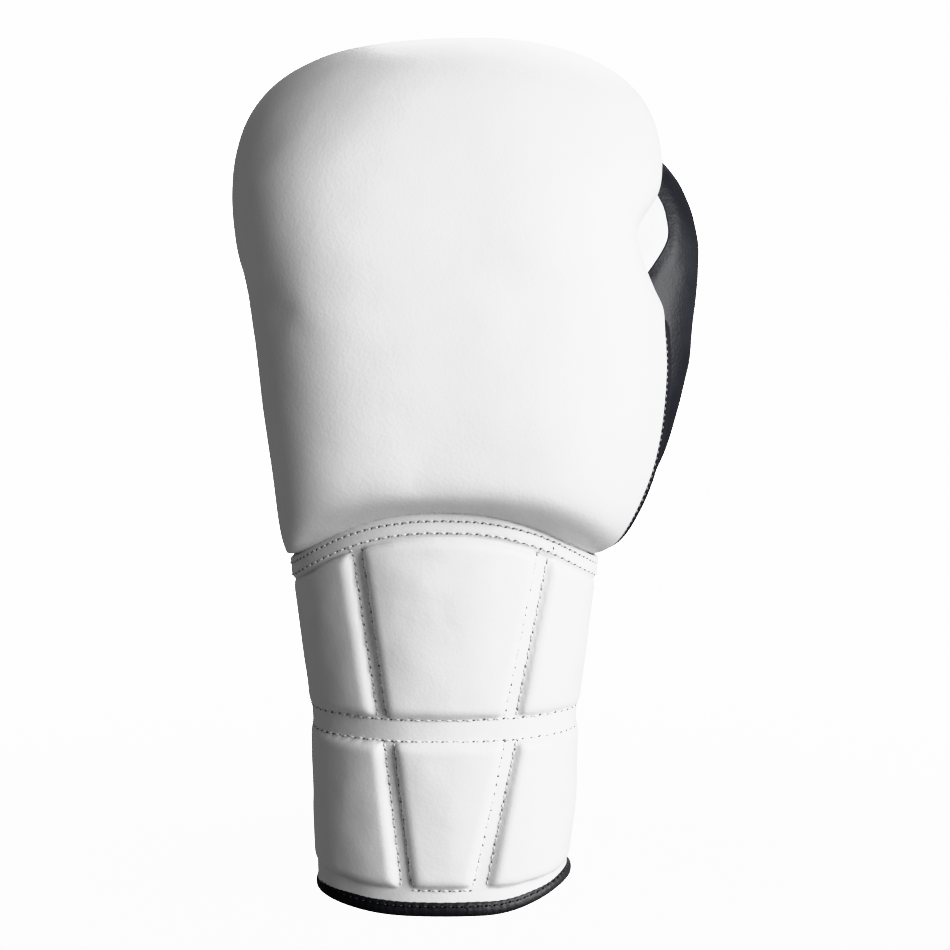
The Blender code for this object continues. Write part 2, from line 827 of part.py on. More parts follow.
def make_flaps(parts):
    """The padded leather flap on each side of the slit: a cover over its foam."""
    tall = MITT_STATIONS[0][1]
    near, middle, far = (share / tall for share in (FLAP_EDGE, FLAP_EDGE + 1.2, FLAP_EDGE + PAD_SHOULDER))
    rows = [0, near, middle, far, 0.5, 1 - far, 1 - middle, 1 - near, 1]
    columns = [0, 0.024] + steps(0.077, 0.923, 6) + [0.976, 1]
    for side, sign in (("thumb", 1), ("outer", -1)):

        def place(up, across, out):
            z = BASE + (tall - GAP - BASE) * up
            first, last = flap_edges(z, sign)
            if sign < 0:
                first, last = last, first
            return cuff_point(first + (last - first) * across, z, out)

        def lift(up, across):
            margin = min(
                across * FLAP_SPAN,
                (1 - across) * FLAP_SPAN,
                up * tall - FLAP_EDGE,
                (1 - up) * tall - FLAP_EDGE,
            )
            share = min(max(margin / PAD_SHOULDER, 0), 1)
            return FLAP_RISE * math.sqrt(1 - (1 - share) ** 2)

        slab(
            f"palm_flap_{side}",
            lambda up, across: place(up, across, GAP + LEATHER + lift(up, across)),
            lambda up, across: place(up, across, GAP + lift(up, across)),
            rows,
            columns,
            "white_leather",
            parts,
        )
        slab(
            f"palm_flap_foam_{side}",
            lambda up, across: place(up, across, lift(up, across) - GAP),
            lambda up, across: place(up, across, GAP + SLACK / 2),
            [far + SLACK / tall, 0.5, 1 - far - SLACK / tall],
            steps(0.08, 0.92, 6),
            "foam",
            parts,
        )


def make_slit_edges(parts):
    """The black binding folded round each edge of the slit, and the stretch tongue behind it."""
    top = MITT_STATIONS[0][1] - GAP
    for side, sign in (("thumb", 1), ("outer", -1)):

        def place(up, across, out):
            z = BASE + (top - BASE) * up
            near = 180 - slit_angle(z) - EDGE_ROOM + 0.5
            first, last = (near, near + BINDING_TURN) if sign > 0 else (-near - BINDING_TURN, -near)
            return cuff_point(first + (last - first) * across, z, out)

        slab(
            f"slit_binding_{side}",
            lambda up, across: place(up, across, GAP + LEATHER + 0.8),
            lambda up, across: place(up, across, -BACKING - GAP - LINING),
            steps(0, 1, 5),
            [0, 1],
            "black_leather",
            parts,
        )
    inner = BACKING + LINING + 3 * GAP
    ribbon("wrist_tongue", 6, 131, 150, 210, -inner - 1.4, -inner, parts, "webbing", 8, 4)


def make_hem(parts):
    """The black binding: a U in section, open upwards, that holds the lower edges of the cuff's layers."""
    outer, inner, wall = GAP + LEATHER + GAP, -BACKING - LINING - 2 * GAP, 1.15
    profile = (
        (outer + wall, HEM_HEIGHT),
        (outer, HEM_HEIGHT),
        (outer, wall),
        (inner, wall),
        (inner, HEM_HEIGHT - 1),
        (inner - wall, HEM_HEIGHT - 1),
        (inner - wall, 0.9),
        (inner - wall + 0.9, 0),
        (outer + wall - 0.9, 0),
        (outer + wall, 0.9),
    )
    reach = 180 - slit_angle(0) - 2.4
    angles = steps(-reach, reach, 26)
    count = len(profile)
    points = [cuff_point(a, z, out) for a in angles for out, z in profile]
    faces = [
        (i * count + k, (i + 1) * count + k, (i + 1) * count + (k + 1) % count, i * count + (k + 1) % count)
        for i in range(len(angles) - 1)
        for k in range(count)
    ]
    last = (len(angles) - 1) * count
    faces.append(tuple(range(count))[::-1])
    faces.append(tuple(last + k for k in range(count)))
    mesh = mesh_of("hem_binding", points, faces)
    bm = bmesh.new()
    bm.from_mesh(mesh)
    bmesh.ops.recalc_face_normals(bm, faces=bm.faces)
    bm.to_mesh(mesh)
    bm.free()
    add_object("hem_binding", mesh, "black_leather", parts)


# ---------------------------------------------------------------- the closure
def strap_piece(name, first, last, under, over, low, high, columns, material_name, parts):
    """A piece that lies round the palm side of the cuff at its own height over the backing."""

    def place(up, angle, out):
        x, y, _ = cuff_point(angle, STRAP_HIGH, out)
        return x, y, low + (high - low) * up

    return slab(
        name,
        lambda up, angle: place(up, angle, over),
        lambda up, angle: place(up, angle, under),
        [0, 1],
        steps(first, last, columns),
        material_name,
        parts,
    )


def make_closure(parts):
    flap_top = GAP + LEATHER + FLAP_RISE + GAP + 0.6
    over = STRAP_UNDER + STRAP_THICK
    hook_low, hook_high = STRAP_LOW + PATCH_MARGIN, STRAP_HIGH - PATCH_MARGIN
    for name, first, last, under, columns, material_name in (
        ("strap_anchor", ANCHOR_START, STRAP_ROOT - STRAP_GAP, flap_top, 4, "white_leather"),
        ("strap_elastic", STRAP_ROOT, STRAP_FOLD - STRAP_GAP, STRAP_UNDER, 7, "webbing"),
        ("strap_tab", STRAP_FOLD, STRAP_END, STRAP_UNDER, 8, "white_leather"),
    ):
        strap_piece(name, first, last, under, over, STRAP_LOW, STRAP_HIGH, columns, material_name, parts)
    strap_piece(
        "hook_patch",
        STRAP_FOLD + 9,
        STRAP_END - 4,
        STRAP_UNDER - GAP - PATCH_THICK,
        STRAP_UNDER - GAP,
        hook_low,
        hook_high,
        6,
        "webbing",
        parts,
    )
    strap_piece(
        "loop_patch",
        STRAP_FOLD + 9,
        STRAP_END - 2,
        flap_top,
        STRAP_UNDER - 2 * GAP - PATCH_THICK,
        hook_low,
        hook_high,
        6,
        "webbing",
        parts,
    )


# ---------------------------------------------------------------- the eyelets
def palm_spot(x, z):
    """The point of the palm leather at this x and height, and its outward normal."""
    best = min(
        (
            (share, angle)
            for share in steps(0.05, 0.35, 60)
            for angle in steps(130, 230, 100)
        ),
        key=lambda sa: math.hypot(mitt_point(*sa)[0] - x, mitt_point(*sa)[2] - z),
    )
    here = Vector(mitt_point(*best))
    up = Vector(mitt_point(best[0] + 0.01, best[1])) - here
    round_it = Vector(mitt_point(best[0], best[1] + 1)) - here
    return here, round_it.cross(up).normalized()


def ring_mesh(name, bore, radius, height):
    """An eyelet: a flanged ring turned about its axis, as a profile with a Screw modifier."""
    wall = bore + EYELET_WALL
    deep = -EYELET_DEPTH
    profile = ((radius, height), (radius, 0), (wall, 0), (wall, deep), (bore, deep), (bore, height))
    bm = bmesh.new()
    verts = [bm.verts.new((r * MM, 0, z * MM)) for r, z in profile]
    for k, vert in enumerate(verts):
        bm.edges.new((vert, verts[(k + 1) % len(verts)]))
    mesh = bpy.data.meshes.new(name)
    bm.to_mesh(mesh)
    bm.free()
    return mesh


def make_eyelets(parts, cutters, palm):
    """Breathing eyelets, each set in a hole in the palm leather."""
    mesh = ring_mesh("eyelet", EYELET_BORE, EYELET_RADIUS, EYELET_FLANGE)
    mesh.materials.append(material("eyelet"))
    for number, (x, z) in enumerate(EYELETS, 1):
        spot, normal = palm_spot(x, z)
        turn = normal.to_track_quat("Z", "Y")
        obj = bpy.data.objects.new(f"eyelet_{number}", mesh)
        obj.location = in_metres(spot + normal * GAP)
        obj.rotation_euler = turn.to_euler()
        parts.objects.link(obj)
        screw = obj.modifiers.new("turn", "SCREW")
        screw.steps = screw.render_steps = 10
        screw.use_merge_vertices = True
        screw.merge_threshold = 0.00001
        bpy.ops.mesh.primitive_cylinder_add(
            vertices=10,
            radius=(EYELET_BORE + EYELET_WALL + GAP) * MM,
            depth=60 * MM,
            location=in_metres(spot),
            rotation=turn.to_euler(),
        )
        hole = bpy.context.object
        hole.name = f"cut_eyelet_{number}"
        for holder in list(hole.users_collection):
            holder.objects.unlink(hole)
        cutters.objects.link(hole)
        hole.hide_render = True
        hole.display_type = "WIRE"
        cut(palm, hole)


def main():
    for obj in list(bpy.data.objects):
        bpy.data.objects.remove(obj)
    parts = bpy.data.collections.new("boxing_glove")
    cutters = bpy.data.collections.new("cutters")
    for collection in (parts, cutters):
        bpy.context.scene.collection.children.link(collection)

    back, palm = make_mitt(parts)
    padding = make_mitt_padding(parts)
    hand_lining = make_hand_lining(parts)
    make_grip_bar(parts)
    outer, thumb_back, outer_foam, inner_foam = make_thumb(parts, cutters)
    _, room = make_pocket(parts, cutters)
    for obj in (back, palm, padding[2], hand_lining, outer_foam, inner_foam):
        cut(obj, room)
    make_back_pads(parts)
    make_cuff_shell(parts)
    make_flaps(parts)
    make_slit_edges(parts)
    make_hem(parts)
    make_closure(parts)
    make_eyelets(parts, cutters, palm)


main()
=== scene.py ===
"""The look of a left-hand training boxing glove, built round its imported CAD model.

Sizes are in millimetres in the frame the CAD was drawn in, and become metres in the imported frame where
a mesh is made. Angles round the hand are in degrees: 0 is the middle of the back, 90 the thumb's side,
180 the middle of the palm. A share runs along the mitt, from 0 at the wrist to 1 at the fingertips.
"""

import math
import random

import bmesh
import bpy
import numpy as np
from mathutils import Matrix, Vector, noise
from mathutils.bvhtree import BVHTree
from mathutils.kdtree import KDTree


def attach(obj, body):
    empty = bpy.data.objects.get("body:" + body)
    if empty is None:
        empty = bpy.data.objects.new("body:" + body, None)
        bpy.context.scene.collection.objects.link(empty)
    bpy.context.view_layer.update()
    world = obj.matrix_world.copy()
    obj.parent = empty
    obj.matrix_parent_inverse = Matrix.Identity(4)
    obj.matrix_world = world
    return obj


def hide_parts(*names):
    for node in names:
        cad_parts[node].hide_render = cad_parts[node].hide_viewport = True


MM = 0.001
BOX_CENTRE = np.array((10.38, 3.79, 0.0))

# Ribs across the folded fist: outer end's y and z, inner end's y and z, and the half widths towards
# the little finger and towards the thumb.
MITT_STATIONS = (
    (-48, 132, 35, 134, 59.5, 57),
    (-58.5, 138, 37.5, 138, 60.3, 65.3),
    (-63, 149, 38, 149, 61.3, 72.3),
    (-64, 171, 38, 169, 63.2, 80),
    (-63.8, 199, 38, 188, 65.8, 83.8),
    (-63, 228, 35, 203, 68, 84.3),
    (-61, 255, 31, 212, 71.2, 83),
    (-53, 283, 28, 218, 76.5, 82),
    (-36, 307.5, 27, 221, 79.2, 82),
    (-10, 323.8, 27, 223, 79.6, 82.5),
    (18, 328.4, 29, 224, 79.2, 82),
    (45, 316, 31, 223, 78, 78),
    (62, 294.5, 33, 221, 76, 70),
    (70, 268, 35, 218, 73.5, 59),
    (69, 243, 37, 215, 70.5, 50),
    (62, 224.5, 40, 212, 66.5, 45),
    (55, 216, 43, 208, 60, 40),
)
# the rim arches up over the middle of the cuff, and the arch fades over this many stations
ARCH_RISE, ARCH_STATIONS = 20.6, 5.5
BACK_SEAM_OUTER, BACK_SEAM_THUMB = -115, 84
TIP_SEAM = 0.93
# the seam beside the thumb: its angle at the rim, how far it comes forward, how far it turns out of sight
SEAM_AT_RIM, SEAM_FORWARD, SEAM_AWAY = 86, 11.5, 36
SEAM_FORWARD_SHARES, SEAM_AWAY_SHARES = (0, 0.14), (0.30, 0.39)
SEAM_WARP_START = -20
# exponents of the mitt's section: over the back of the hand and over the fingers, at the rim, at the palm
LITTLE_SIDE_ROUNDNESS = (3.8, 2.4)
THUMB_SIDE_ROUNDNESS = (3.0, 2.7)
RIM_ROUNDNESS, PALM_ROUNDNESS = 2.35, 2.5
FINGER_SHARES, RIM_SHARES = (0.34, 0.50), (-0.01, 0.14)
# the notch where the thumb leaves the fist, on the back's part of the mitt only
NOTCH_Z, NOTCH_ABOVE, NOTCH_BELOW, NOTCH_DEPTH, NOTCH_LAST_SHARE = 254, 10, 25, 12.5, 0.62

# height, then the centre's x and y and the half widths in x and y
THUMB_SECTIONS = (
    (136, 44, 16, 20, 16),
    (147, 50.3, 19, 24.8, 20),
    (159, 54.8, 22, 26.8, 23),
    (171, 58.5, 24, 28.3, 25),
    (183, 61.9, 26, 28.6, 26.5),
    (195, 65, 28, 28.7, 27),
    (207, 67.5, 30, 28.8, 27.5),
    (219, 69.3, 32, 28.4, 27.5),
    (231, 71, 34.5, 28, 27),
    (243, 72.2, 37, 27.5, 26.5),
    (254.5, 72.9, 39.5, 26.6, 25.5),
    (265.5, 72.7, 42, 24.4, 23.5),
    (276.5, 71.7, 44, 20.4, 19.5),
    (285, 70.4, 45, 13.6, 13.2),
    (290, 69.8, 45.5, 3, 3),
)
THUMB_SEAM_BACK, THUMB_SEAM_INNER = 30, -80
THUMB_WEB_Z, THUMB_INNER_TOP = 231, 281.5
# low down and near the tip, the thumb's seam leans by so many degrees, over so many millimetres
SEAM_LEAN, SEAM_LEAN_LENGTH = 34, 22
TIP_LEAN, TIP_LEAN_FROM, TIP_LEAN_LENGTH = 22, 266, 20
SEAM_LEAN_REACH = 60
TIP_HEIGHTS = (277.3, 280, 282.4, 284.6, 286.5, 288, 289.1, 289.8)

# height, then the half width and the depths towards the back and the palm
CUFF_RINGS = (
    (0, 45, 36.5, 32.5),
    (30, 45.6, 37.2, 32.6),
    (60, 46.2, 38, 32.8),
    (80, 47.3, 39, 33),
    (100, 49.7, 40.2, 33),
    (118, 52, 41.4, 33.2),
    (134, 54.3, 42.2, 33.4),
    (158, 56.5, 43, 33.6),
)
SLIT_HALF_WIDTH = 4.5
CUFF_ROUNDNESS = 2.35
MM_PER_DEGREE = 47 * math.pi / 180
# the back's cover ends at this angle, and its pads a little before
SIDE_SEAM, PAD_SIDE = 108, 104.5
# the hem is pulled up at its sides, and the crease over it climbs
HEM_LIFT_OUTER, HEM_LIFT_THUMB, HEM_TOP_RISE = 2.3, 7.4, 3.7
HEM_BAND_TOP, CHANNEL_BOTTOM, CHANNEL_TOP = 10.5, 65.9, 76.5
BAND_WIDTH, BAND_RISE = 9.8, 1.9
# the middle of each channel, as x at its lower and its upper end
LOWER_CHANNELS = ((-13.7, -20.0), (13.1, 24.6))
UPPER_CHANNELS = ((-22.6, -31.2), (24.6, 36.6))
CHANNEL_HALF_WIDTHS = (2.8, 3.4)
PAD_RISE, PAD_SHOULDER, PAD_CROWN = 3.1, 4.2, 0.5
# at its sides the whole cuff is padded, so its channels are shallow there
SIDE_PADDING, SIDE_PAD_LOSS = 2.6, 0.68
COVER_LIFT = 0.35 + 1.5
CORNER_PULL, RIM_TURN = 2.3, 3.4
FLAP_RISE, FLAP_WIDTH = 2.1, 52
CUFF_LOW = 2.2


# ---------------------------------------------------------------- surfaces, over arrays
def spline(rows, shares):
    """The rows at shares (0 to 1) of a table, on a smooth curve through its rows."""
    table = np.asarray(rows, float)
    at = np.clip(shares, 0, 1) * (len(table) - 1)
    i = np.minimum(at.astype(int), len(table) - 2)
    t = (at - i)[..., None]
    before, here = table[np.maximum(i - 1, 0)], table[i]
    there, after = table[i + 1], table[np.minimum(i + 2, len(table) - 1)]
    return 0.5 * (
        2 * here
        + (there - before) * t
        + (2 * before - 5 * here + 4 * there - after) * t**2
        + (3 * here - before - 3 * there + after) * t**3
    )


def smooth_table(rows, z):
    """The rest of each row at heights z, of a table that starts with z, on a smooth curve."""
    curve = spline(rows, np.linspace(0, 1, 400))
    return [np.interp(z, curve[:, 0], curve[:, k]) for k in range(1, curve.shape[1])]


def eased(value, first, last):
    """0 up to first, 1 from last on, and a smooth rise between them."""
    t = np.clip((value - first) / (last - first), 0, 1)
    return t * t * (3 - 2 * t)


def bell(distance, width):
    return np.exp(-((distance / width) ** 2))


def squared(value, exponent):
    return np.sign(value) * np.abs(value) ** (2 / exponent)


def arch(angle):
    return ARCH_RISE * np.maximum(0, np.cos(np.radians(angle))) ** 2


def ribs(stations, share):
    """Ribs of a table: middle y and z, half length, direction in y and z, left and right half widths."""
    outer_y, outer_z, inner_y, inner_z, left, right = np.moveaxis(spline(stations, share), -1, 0)
    half = np.maximum(np.hypot(outer_y - inner_y, outer_z - inner_z) / 2, 0.05)
    way_y, way_z = (outer_y - inner_y) / 2 / half, (outer_z - inner_z) / 2 / half
    return (outer_y + inner_y) / 2, (outer_z + inner_z) / 2, half, way_y, way_z, left, right


def mitt_roundness(share, turn):
    """The exponent of the mitt's section, which is squarest over the back of the hand."""
    fingers = eased(share, *FINGER_SHARES)
    thumb, little = (a + (b - a) * fingers for a, b in (THUMB_SIDE_ROUNDNESS, LITTLE_SIDE_ROUNDNESS))
    exponent = np.where(np.sin(turn) > 0, thumb, little)
    exponent = RIM_ROUNDNESS + (exponent - RIM_ROUNDNESS) * eased(share, *RIM_SHARES)
    return np.where(np.cos(turn) > 0, exponent, PALM_ROUNDNESS)


def mitt_surface(share, angle):
    """Points of the mitt's outside, for arrays of the same shape."""
    y, z, half, way_y, way_z, left, right = ribs(MITT_STATIONS, share)
    turn = np.radians(angle)
    exponent = mitt_roundness(share, turn)
    across, reach = squared(np.sin(turn), exponent), half * squared(np.cos(turn), exponent)
    beside = np.maximum(0, np.cos(np.radians(angle - 90))) ** 4
    level = z + way_z * reach
    notch = NOTCH_DEPTH * beside * bell(level - NOTCH_Z, np.where(level > NOTCH_Z, NOTCH_ABOVE, NOTCH_BELOW))
    width = np.where(across > 0, right, left) - np.where(share < NOTCH_LAST_SHARE, notch, 0)
    lift = arch(angle) * (1 - eased(share * (len(MITT_STATIONS) - 1), 0, ARCH_STATIONS))
    return np.stack([width * across, y + way_y * reach, level + lift], -1)


def side_seam(share):
    """The angle of the seam on the thumb's side: it turns out of sight beside the thumb's web."""
    forward = SEAM_FORWARD * eased(share, *SEAM_FORWARD_SHARES)
    return SEAM_AT_RIM - forward + SEAM_AWAY * eased(share, *SEAM_AWAY_SHARES)


def at_seam(share, angle):
    """Angles with the mesh's columns drawn along, so that the column at BACK_SEAM_THUMB follows the seam."""
    seam, even, start = side_seam(share), BACK_SEAM_THUMB, SEAM_WARP_START
    before = start + (angle - start) * (seam - start) / (even - start)
    after = 180 - (180 - angle) * (180 - seam) / (180 - even)
    warped = np.where(angle < even, before, after)
    return np.where((angle > start) & (angle < 180), warped, angle)


def thumb_surface(z, angle):
    centre_x, centre_y, half_x, half_y = smooth_table(THUMB_SECTIONS, z)
    turn = np.radians(angle)
    return np.stack([centre_x + half_x * np.sin(turn), centre_y - half_y * np.cos(turn), z + 0 * turn], -1)


def cuff_surface(angle, z, out=0.0):
    """Points on the cuff's backing, or out from it."""
    half_width, back, palm = smooth_table(CUFF_RINGS, z)
    turn = np.radians(angle)
    # the back and palm depths meet at the sides without a step, because the cosine is 0 there
    depth = np.where(np.cos(turn) > 0, back, palm)
    exponent = np.where(np.cos(turn) > 0, CUFF_ROUNDNESS, 2.0)
    across, along = squared(np.sin(turn), exponent), squared(np.cos(turn), exponent)
    return np.stack([(half_width + out) * across, -(depth + out) * along, z + 0 * turn], -1)


def junction(angle):
    return MITT_STATIONS[0][1] + arch(angle)


def hem_lift(angle):
    """How far the hem stands off the floor: it is pulled up a little at both sides."""
    beside = eased(np.abs(angle), 15, 80) * (1 - eased(np.abs(angle), 105, 165))
    return beside * np.where(np.asarray(angle) < 0, HEM_LIFT_OUTER, HEM_LIFT_THUMB)


def hem_top(angle):
    """Height of the crease over the hem, which climbs towards the sides."""
    return HEM_BAND_TOP + HEM_TOP_RISE * eased(np.abs(angle), 20, 85)


# ---------------------------------------------------------------- meshes
def metres(points):
    return (np.asarray(points, float) - BOX_CENTRE) * MM


def new_object(name, points, faces, material=None):
    """A mesh object of points in millimetres."""
    mesh = bpy.data.meshes.new(name)
    mesh.from_pydata([tuple(p) for p in metres(points)], [], [tuple(int(i) for i in f) for f in faces])
    mesh.update()
    obj = bpy.data.objects.new(name, mesh)
    bpy.context.scene.collection.objects.link(obj)
    if material:
        mesh.materials.append(material)
    for polygon in mesh.polygons:
        polygon.use_smooth = True
    return obj


def grid_faces(rows, columns, closed=False):
    """Quads over a grid of rows by columns; closed joins the last column to the first."""
    faces = []
    for i in range(rows - 1):
        for j in range(columns if closed else columns - 1):
            low, high, n = i * columns, (i + 1) * columns, (j + 1) % columns
            faces.append((low + j, low + n, high + n, high + j))
    return faces


def face_outwards(obj):
    bm = bmesh.new()
    bm.from_mesh(obj.data)
    bmesh.ops.recalc_face_normals(bm, faces=bm.faces)
    bm.to_mesh(obj.data)
    bm.free()


def only(obj):
    """Make obj the one selected and active object."""
    for other in bpy.context.selected_objects:
        other.select_set(False)
    obj.select_set(True)
    bpy.context.view_layer.objects.active = obj


def apply_modifiers(obj):
    only(obj)
    depsgraph = bpy.context.evaluated_depsgraph_get()
    mesh = bpy.data.meshes.new_from_object(obj.evaluated_get(depsgraph), depsgraph=depsgraph)
    old = obj.data
    obj.modifiers.clear()
    obj.data = mesh
    bpy.data.meshes.remove(old)
    for polygon in mesh.polygons:
        polygon.use_smooth = True


def points_of(mesh):
    flat = np.empty(len(mesh.vertices) * 3)
    mesh.vertices.foreach_get("co", flat)
    return flat.reshape(-1, 3)


def normals_of(mesh):
    flat = np.empty(len(mesh.vertices) * 3, np.float32)
    mesh.vertex_normals.foreach_get("vector", flat)
    return flat.reshape(-1, 3).astype(float)


def set_points(mesh, points):
    mesh.vertices.foreach_set("co", np.asarray(points, np.float32).ravel())
    mesh.update()


def subdivide(obj, levels=1):
    modifier = obj.modifiers.new("subdivision", "SUBSURF")
    modifier.levels = modifier.render_levels = levels
    apply_modifiers(obj)


def thicken(obj, thickness):
    modifier = obj.modifiers.new("thickness", "SOLIDIFY")
    modifier.thickness = thickness * MM
    modifier.offset = -1
    modifier.use_even_offset = False
    apply_modifiers(obj)


# ---------------------------------------------------------------- materials
def node(tree, kind, **settings):
    made = tree.nodes.new(kind)
    for name, value in settings.items():
        if name.startswith("in_"):
            made.inputs[name[3:].replace("_", " ")].default_value = value
        else:
            setattr(made, name, value)
    return made


def join(tree, *pairs):
    """Link each pair's output to its input."""
    for output, socket in pairs:
        tree.links.new(output, socket)


def ramp(tree, source, stops):
    made = tree.nodes.new("ShaderNodeValToRGB")
    elements = made.color_ramp.elements
    while len(elements) < len(stops):
        elements.new(0.5)
    for element, (position, colour) in zip(elements, stops):
        element.position = position
        element.color = (*colour, 1)
    tree.links.new(source, made.inputs["Fac"])
    return made.outputs["Color"]


def noise_colour(tree, surface, scale, detail, stops, place=None):
    """Colour a surface by a noise, and return the noise."""
    made = node(tree, "ShaderNodeTexNoise", in_Scale=scale, in_Detail=detail)
    if place:
        tree.links.new(place, made.inputs["Vector"])
    tree.links.new(ramp(tree, made.outputs["Fac"], stops), surface.inputs["Base Color"])
    return made.outputs["Fac"]


def start_material(name):
    material = bpy.data.materials.new(name)
    material.use_nodes = True
    tree = material.node_tree
    return material, tree, tree.nodes["Principled BSDF"]


def leather(name, pale, dark, roughness, grain=0.25, coat=0.0, hollow_colour=(1, 1, 1), specular=0.5):
    """Pebbled leather: grain from two cell sizes, fine pores, mottled colour and a darker tint in its
    hollows.
    """
    material, tree, surface = start_material(name)
    place = node(tree, "ShaderNodeTexCoord").outputs["Object"]
    cells = node(tree, "ShaderNodeTexVoronoi", in_Scale=900.0, in_Randomness=1.0)
    cells.feature = "SMOOTH_F1"
    fine = node(tree, "ShaderNodeTexNoise", in_Scale=2600.0, in_Detail=4.0)
    broad = node(tree, "ShaderNodeTexNoise", in_Scale=22.0, in_Detail=5.0, in_Roughness=0.6)
    folds = node(tree, "ShaderNodeTexNoise", in_Scale=160.0, in_Detail=3.0)
    for texture in (cells, fine, broad, folds):
        tree.links.new(place, texture.inputs["Vector"])
    # colour: a slow mottle between two near shades, then a darker tint in the hollows, where the surface
    # curves in
    colour = ramp(tree, broad.outputs["Fac"], ((0.35, dark), (0.65, pale)))
    geometry = node(tree, "ShaderNodeNewGeometry")
    # where pointiness is low, in the hollows, the colour is multiplied towards the hollow colour; elsewhere
    # it is left as it is
    edges = ramp(tree, geometry.outputs["Pointiness"], ((0.40, hollow_colour), (0.49, (1, 1, 1))))
    mixed = node(tree, "ShaderNodeMix", data_type="RGBA", blend_type="MULTIPLY")
    mixed.inputs["Factor"].default_value = 0.6
    shine = node(tree, "ShaderNodeMapRange", in_To_Min=roughness - 0.07, in_To_Max=roughness + 0.1)
    pebbles = node(tree, "ShaderNodeBump", in_Strength=grain, in_Distance=0.00025)
    pores = node(tree, "ShaderNodeBump", in_Strength=grain * 0.5, in_Distance=0.0001)
    puckers = node(tree, "ShaderNodeBump", in_Strength=grain * 0.8, in_Distance=0.0006)
    join(
        tree,
        (colour, mixed.inputs["A"]),
        (edges, mixed.inputs["B"]),
        (mixed.outputs["Result"], surface.inputs["Base Color"]),
        (broad.outputs["Fac"], shine.inputs["Value"]),
        (shine.outputs["Result"], surface.inputs["Roughness"]),
        (cells.outputs["Distance"], pebbles.inputs["Height"]),
        (fine.outputs["Fac"], pores.inputs["Height"]),
        (folds.outputs["Fac"], puckers.inputs["Height"]),
        (puckers.outputs["Normal"], pebbles.inputs["Normal"]),
        (pebbles.outputs["Normal"], pores.inputs["Normal"]),
        (pores.outputs["Normal"], surface.inputs["Normal"]),
    )
    surface.inputs["Coat Weight"].default_value = coat
    surface.inputs["Coat Roughness"].default_value = 0.3
    surface.inputs["Specular IOR Level"].default_value = specular
    return material


def woven(name, pale, dark, pitch, roughness=0.85, sheen=0.3):
    """Woven cloth or webbing: crossed ribs of this pitch in millimetres, in colour and in relief."""
    material, tree, surface = start_material(name)
    place = node(tree, "ShaderNodeTexCoord").outputs["Object"]
    waves = []
    for direction in ("Z", "X"):
        wave = node(tree, "ShaderNodeTexWave", bands_direction=direction, wave_profile="SIN")
        # a wave's bands repeat 20 / (2 pi) times to the unit at scale 1
        wave.inputs["Scale"].default_value = 2 * math.pi / 20 / (pitch * MM)
        wave.inputs["Distortion"].default_value = 0.4
        tree.links.new(place, wave.inputs["Vector"])
        waves.append(wave.outputs["Fac"])
    both = node(tree, "ShaderNodeMath", operation="MULTIPLY")
    fuzz = node(tree, "ShaderNodeTexNoise", in_Scale=1800.0, in_Detail=3.0)
    total = node(tree, "ShaderNodeMath", operation="ADD")
    bump = node(tree, "ShaderNodeBump", in_Strength=0.6, in_Distance=0.0003)
    join(
        tree,
        (waves[0], both.inputs[0]),
        (waves[1], both.inputs[1]),
        (place, fuzz.inputs["Vector"]),
        (both.outputs[0], total.inputs[0]),
        (fuzz.outputs["Fac"], total.inputs[1]),
        (ramp(tree, total.outputs[0], ((0.25, dark), (1.0, pale))), surface.inputs["Base Color"]),
        (total.outputs[0], bump.inputs["Height"]),
        (bump.outputs["Normal"], surface.inputs["Normal"]),
    )
    surface.inputs["Roughness"].default_value = roughness
    surface.inputs["Sheen Weight"].default_value = sheen
    return material


def thread(name, pale, dark):
    material, tree, surface = start_material(name)
    place = node(tree, "ShaderNodeTexCoord").outputs["Object"]
    strands = noise_colour(tree, surface, 3200.0, 2.0, ((0.3, dark), (0.7, pale)), place)
    bump = node(tree, "ShaderNodeBump", in_Strength=0.4, in_Distance=0.0001)
    join(tree, (strands, bump.inputs["Height"]), (bump.outputs["Normal"], surface.inputs["Normal"]))
    surface.inputs["Roughness"].default_value = 0.7
    return material


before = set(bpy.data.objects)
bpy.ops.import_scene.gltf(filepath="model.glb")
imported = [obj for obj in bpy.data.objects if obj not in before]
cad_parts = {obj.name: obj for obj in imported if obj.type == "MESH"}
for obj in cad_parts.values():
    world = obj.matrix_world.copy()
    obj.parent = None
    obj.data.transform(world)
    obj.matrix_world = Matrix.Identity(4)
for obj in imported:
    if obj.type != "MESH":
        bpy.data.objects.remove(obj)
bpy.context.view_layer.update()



def grey(value, blue=0.0):
    return (value, value, value + blue)


WHITE = leather(
    "white_leather", grey(0.80, 0.005), grey(0.76, 0.005), 0.42, grain=0.16, coat=0.05, hollow_colour=grey(0.72, 0.01)
)
BLACK = leather(
    "black_leather",
    (0.027, 0.028, 0.032),
    grey(0.018, 0.004),
    roughness=0.5,
    grain=0.5,
    coat=0.04,
    hollow_colour=grey(0.6),
    specular=0.32,
)
BINDING = leather("black_binding", grey(0.030, 0.003), grey(0.020, 0.002), 0.5, grain=0.5, hollow_colour=grey(0.5))
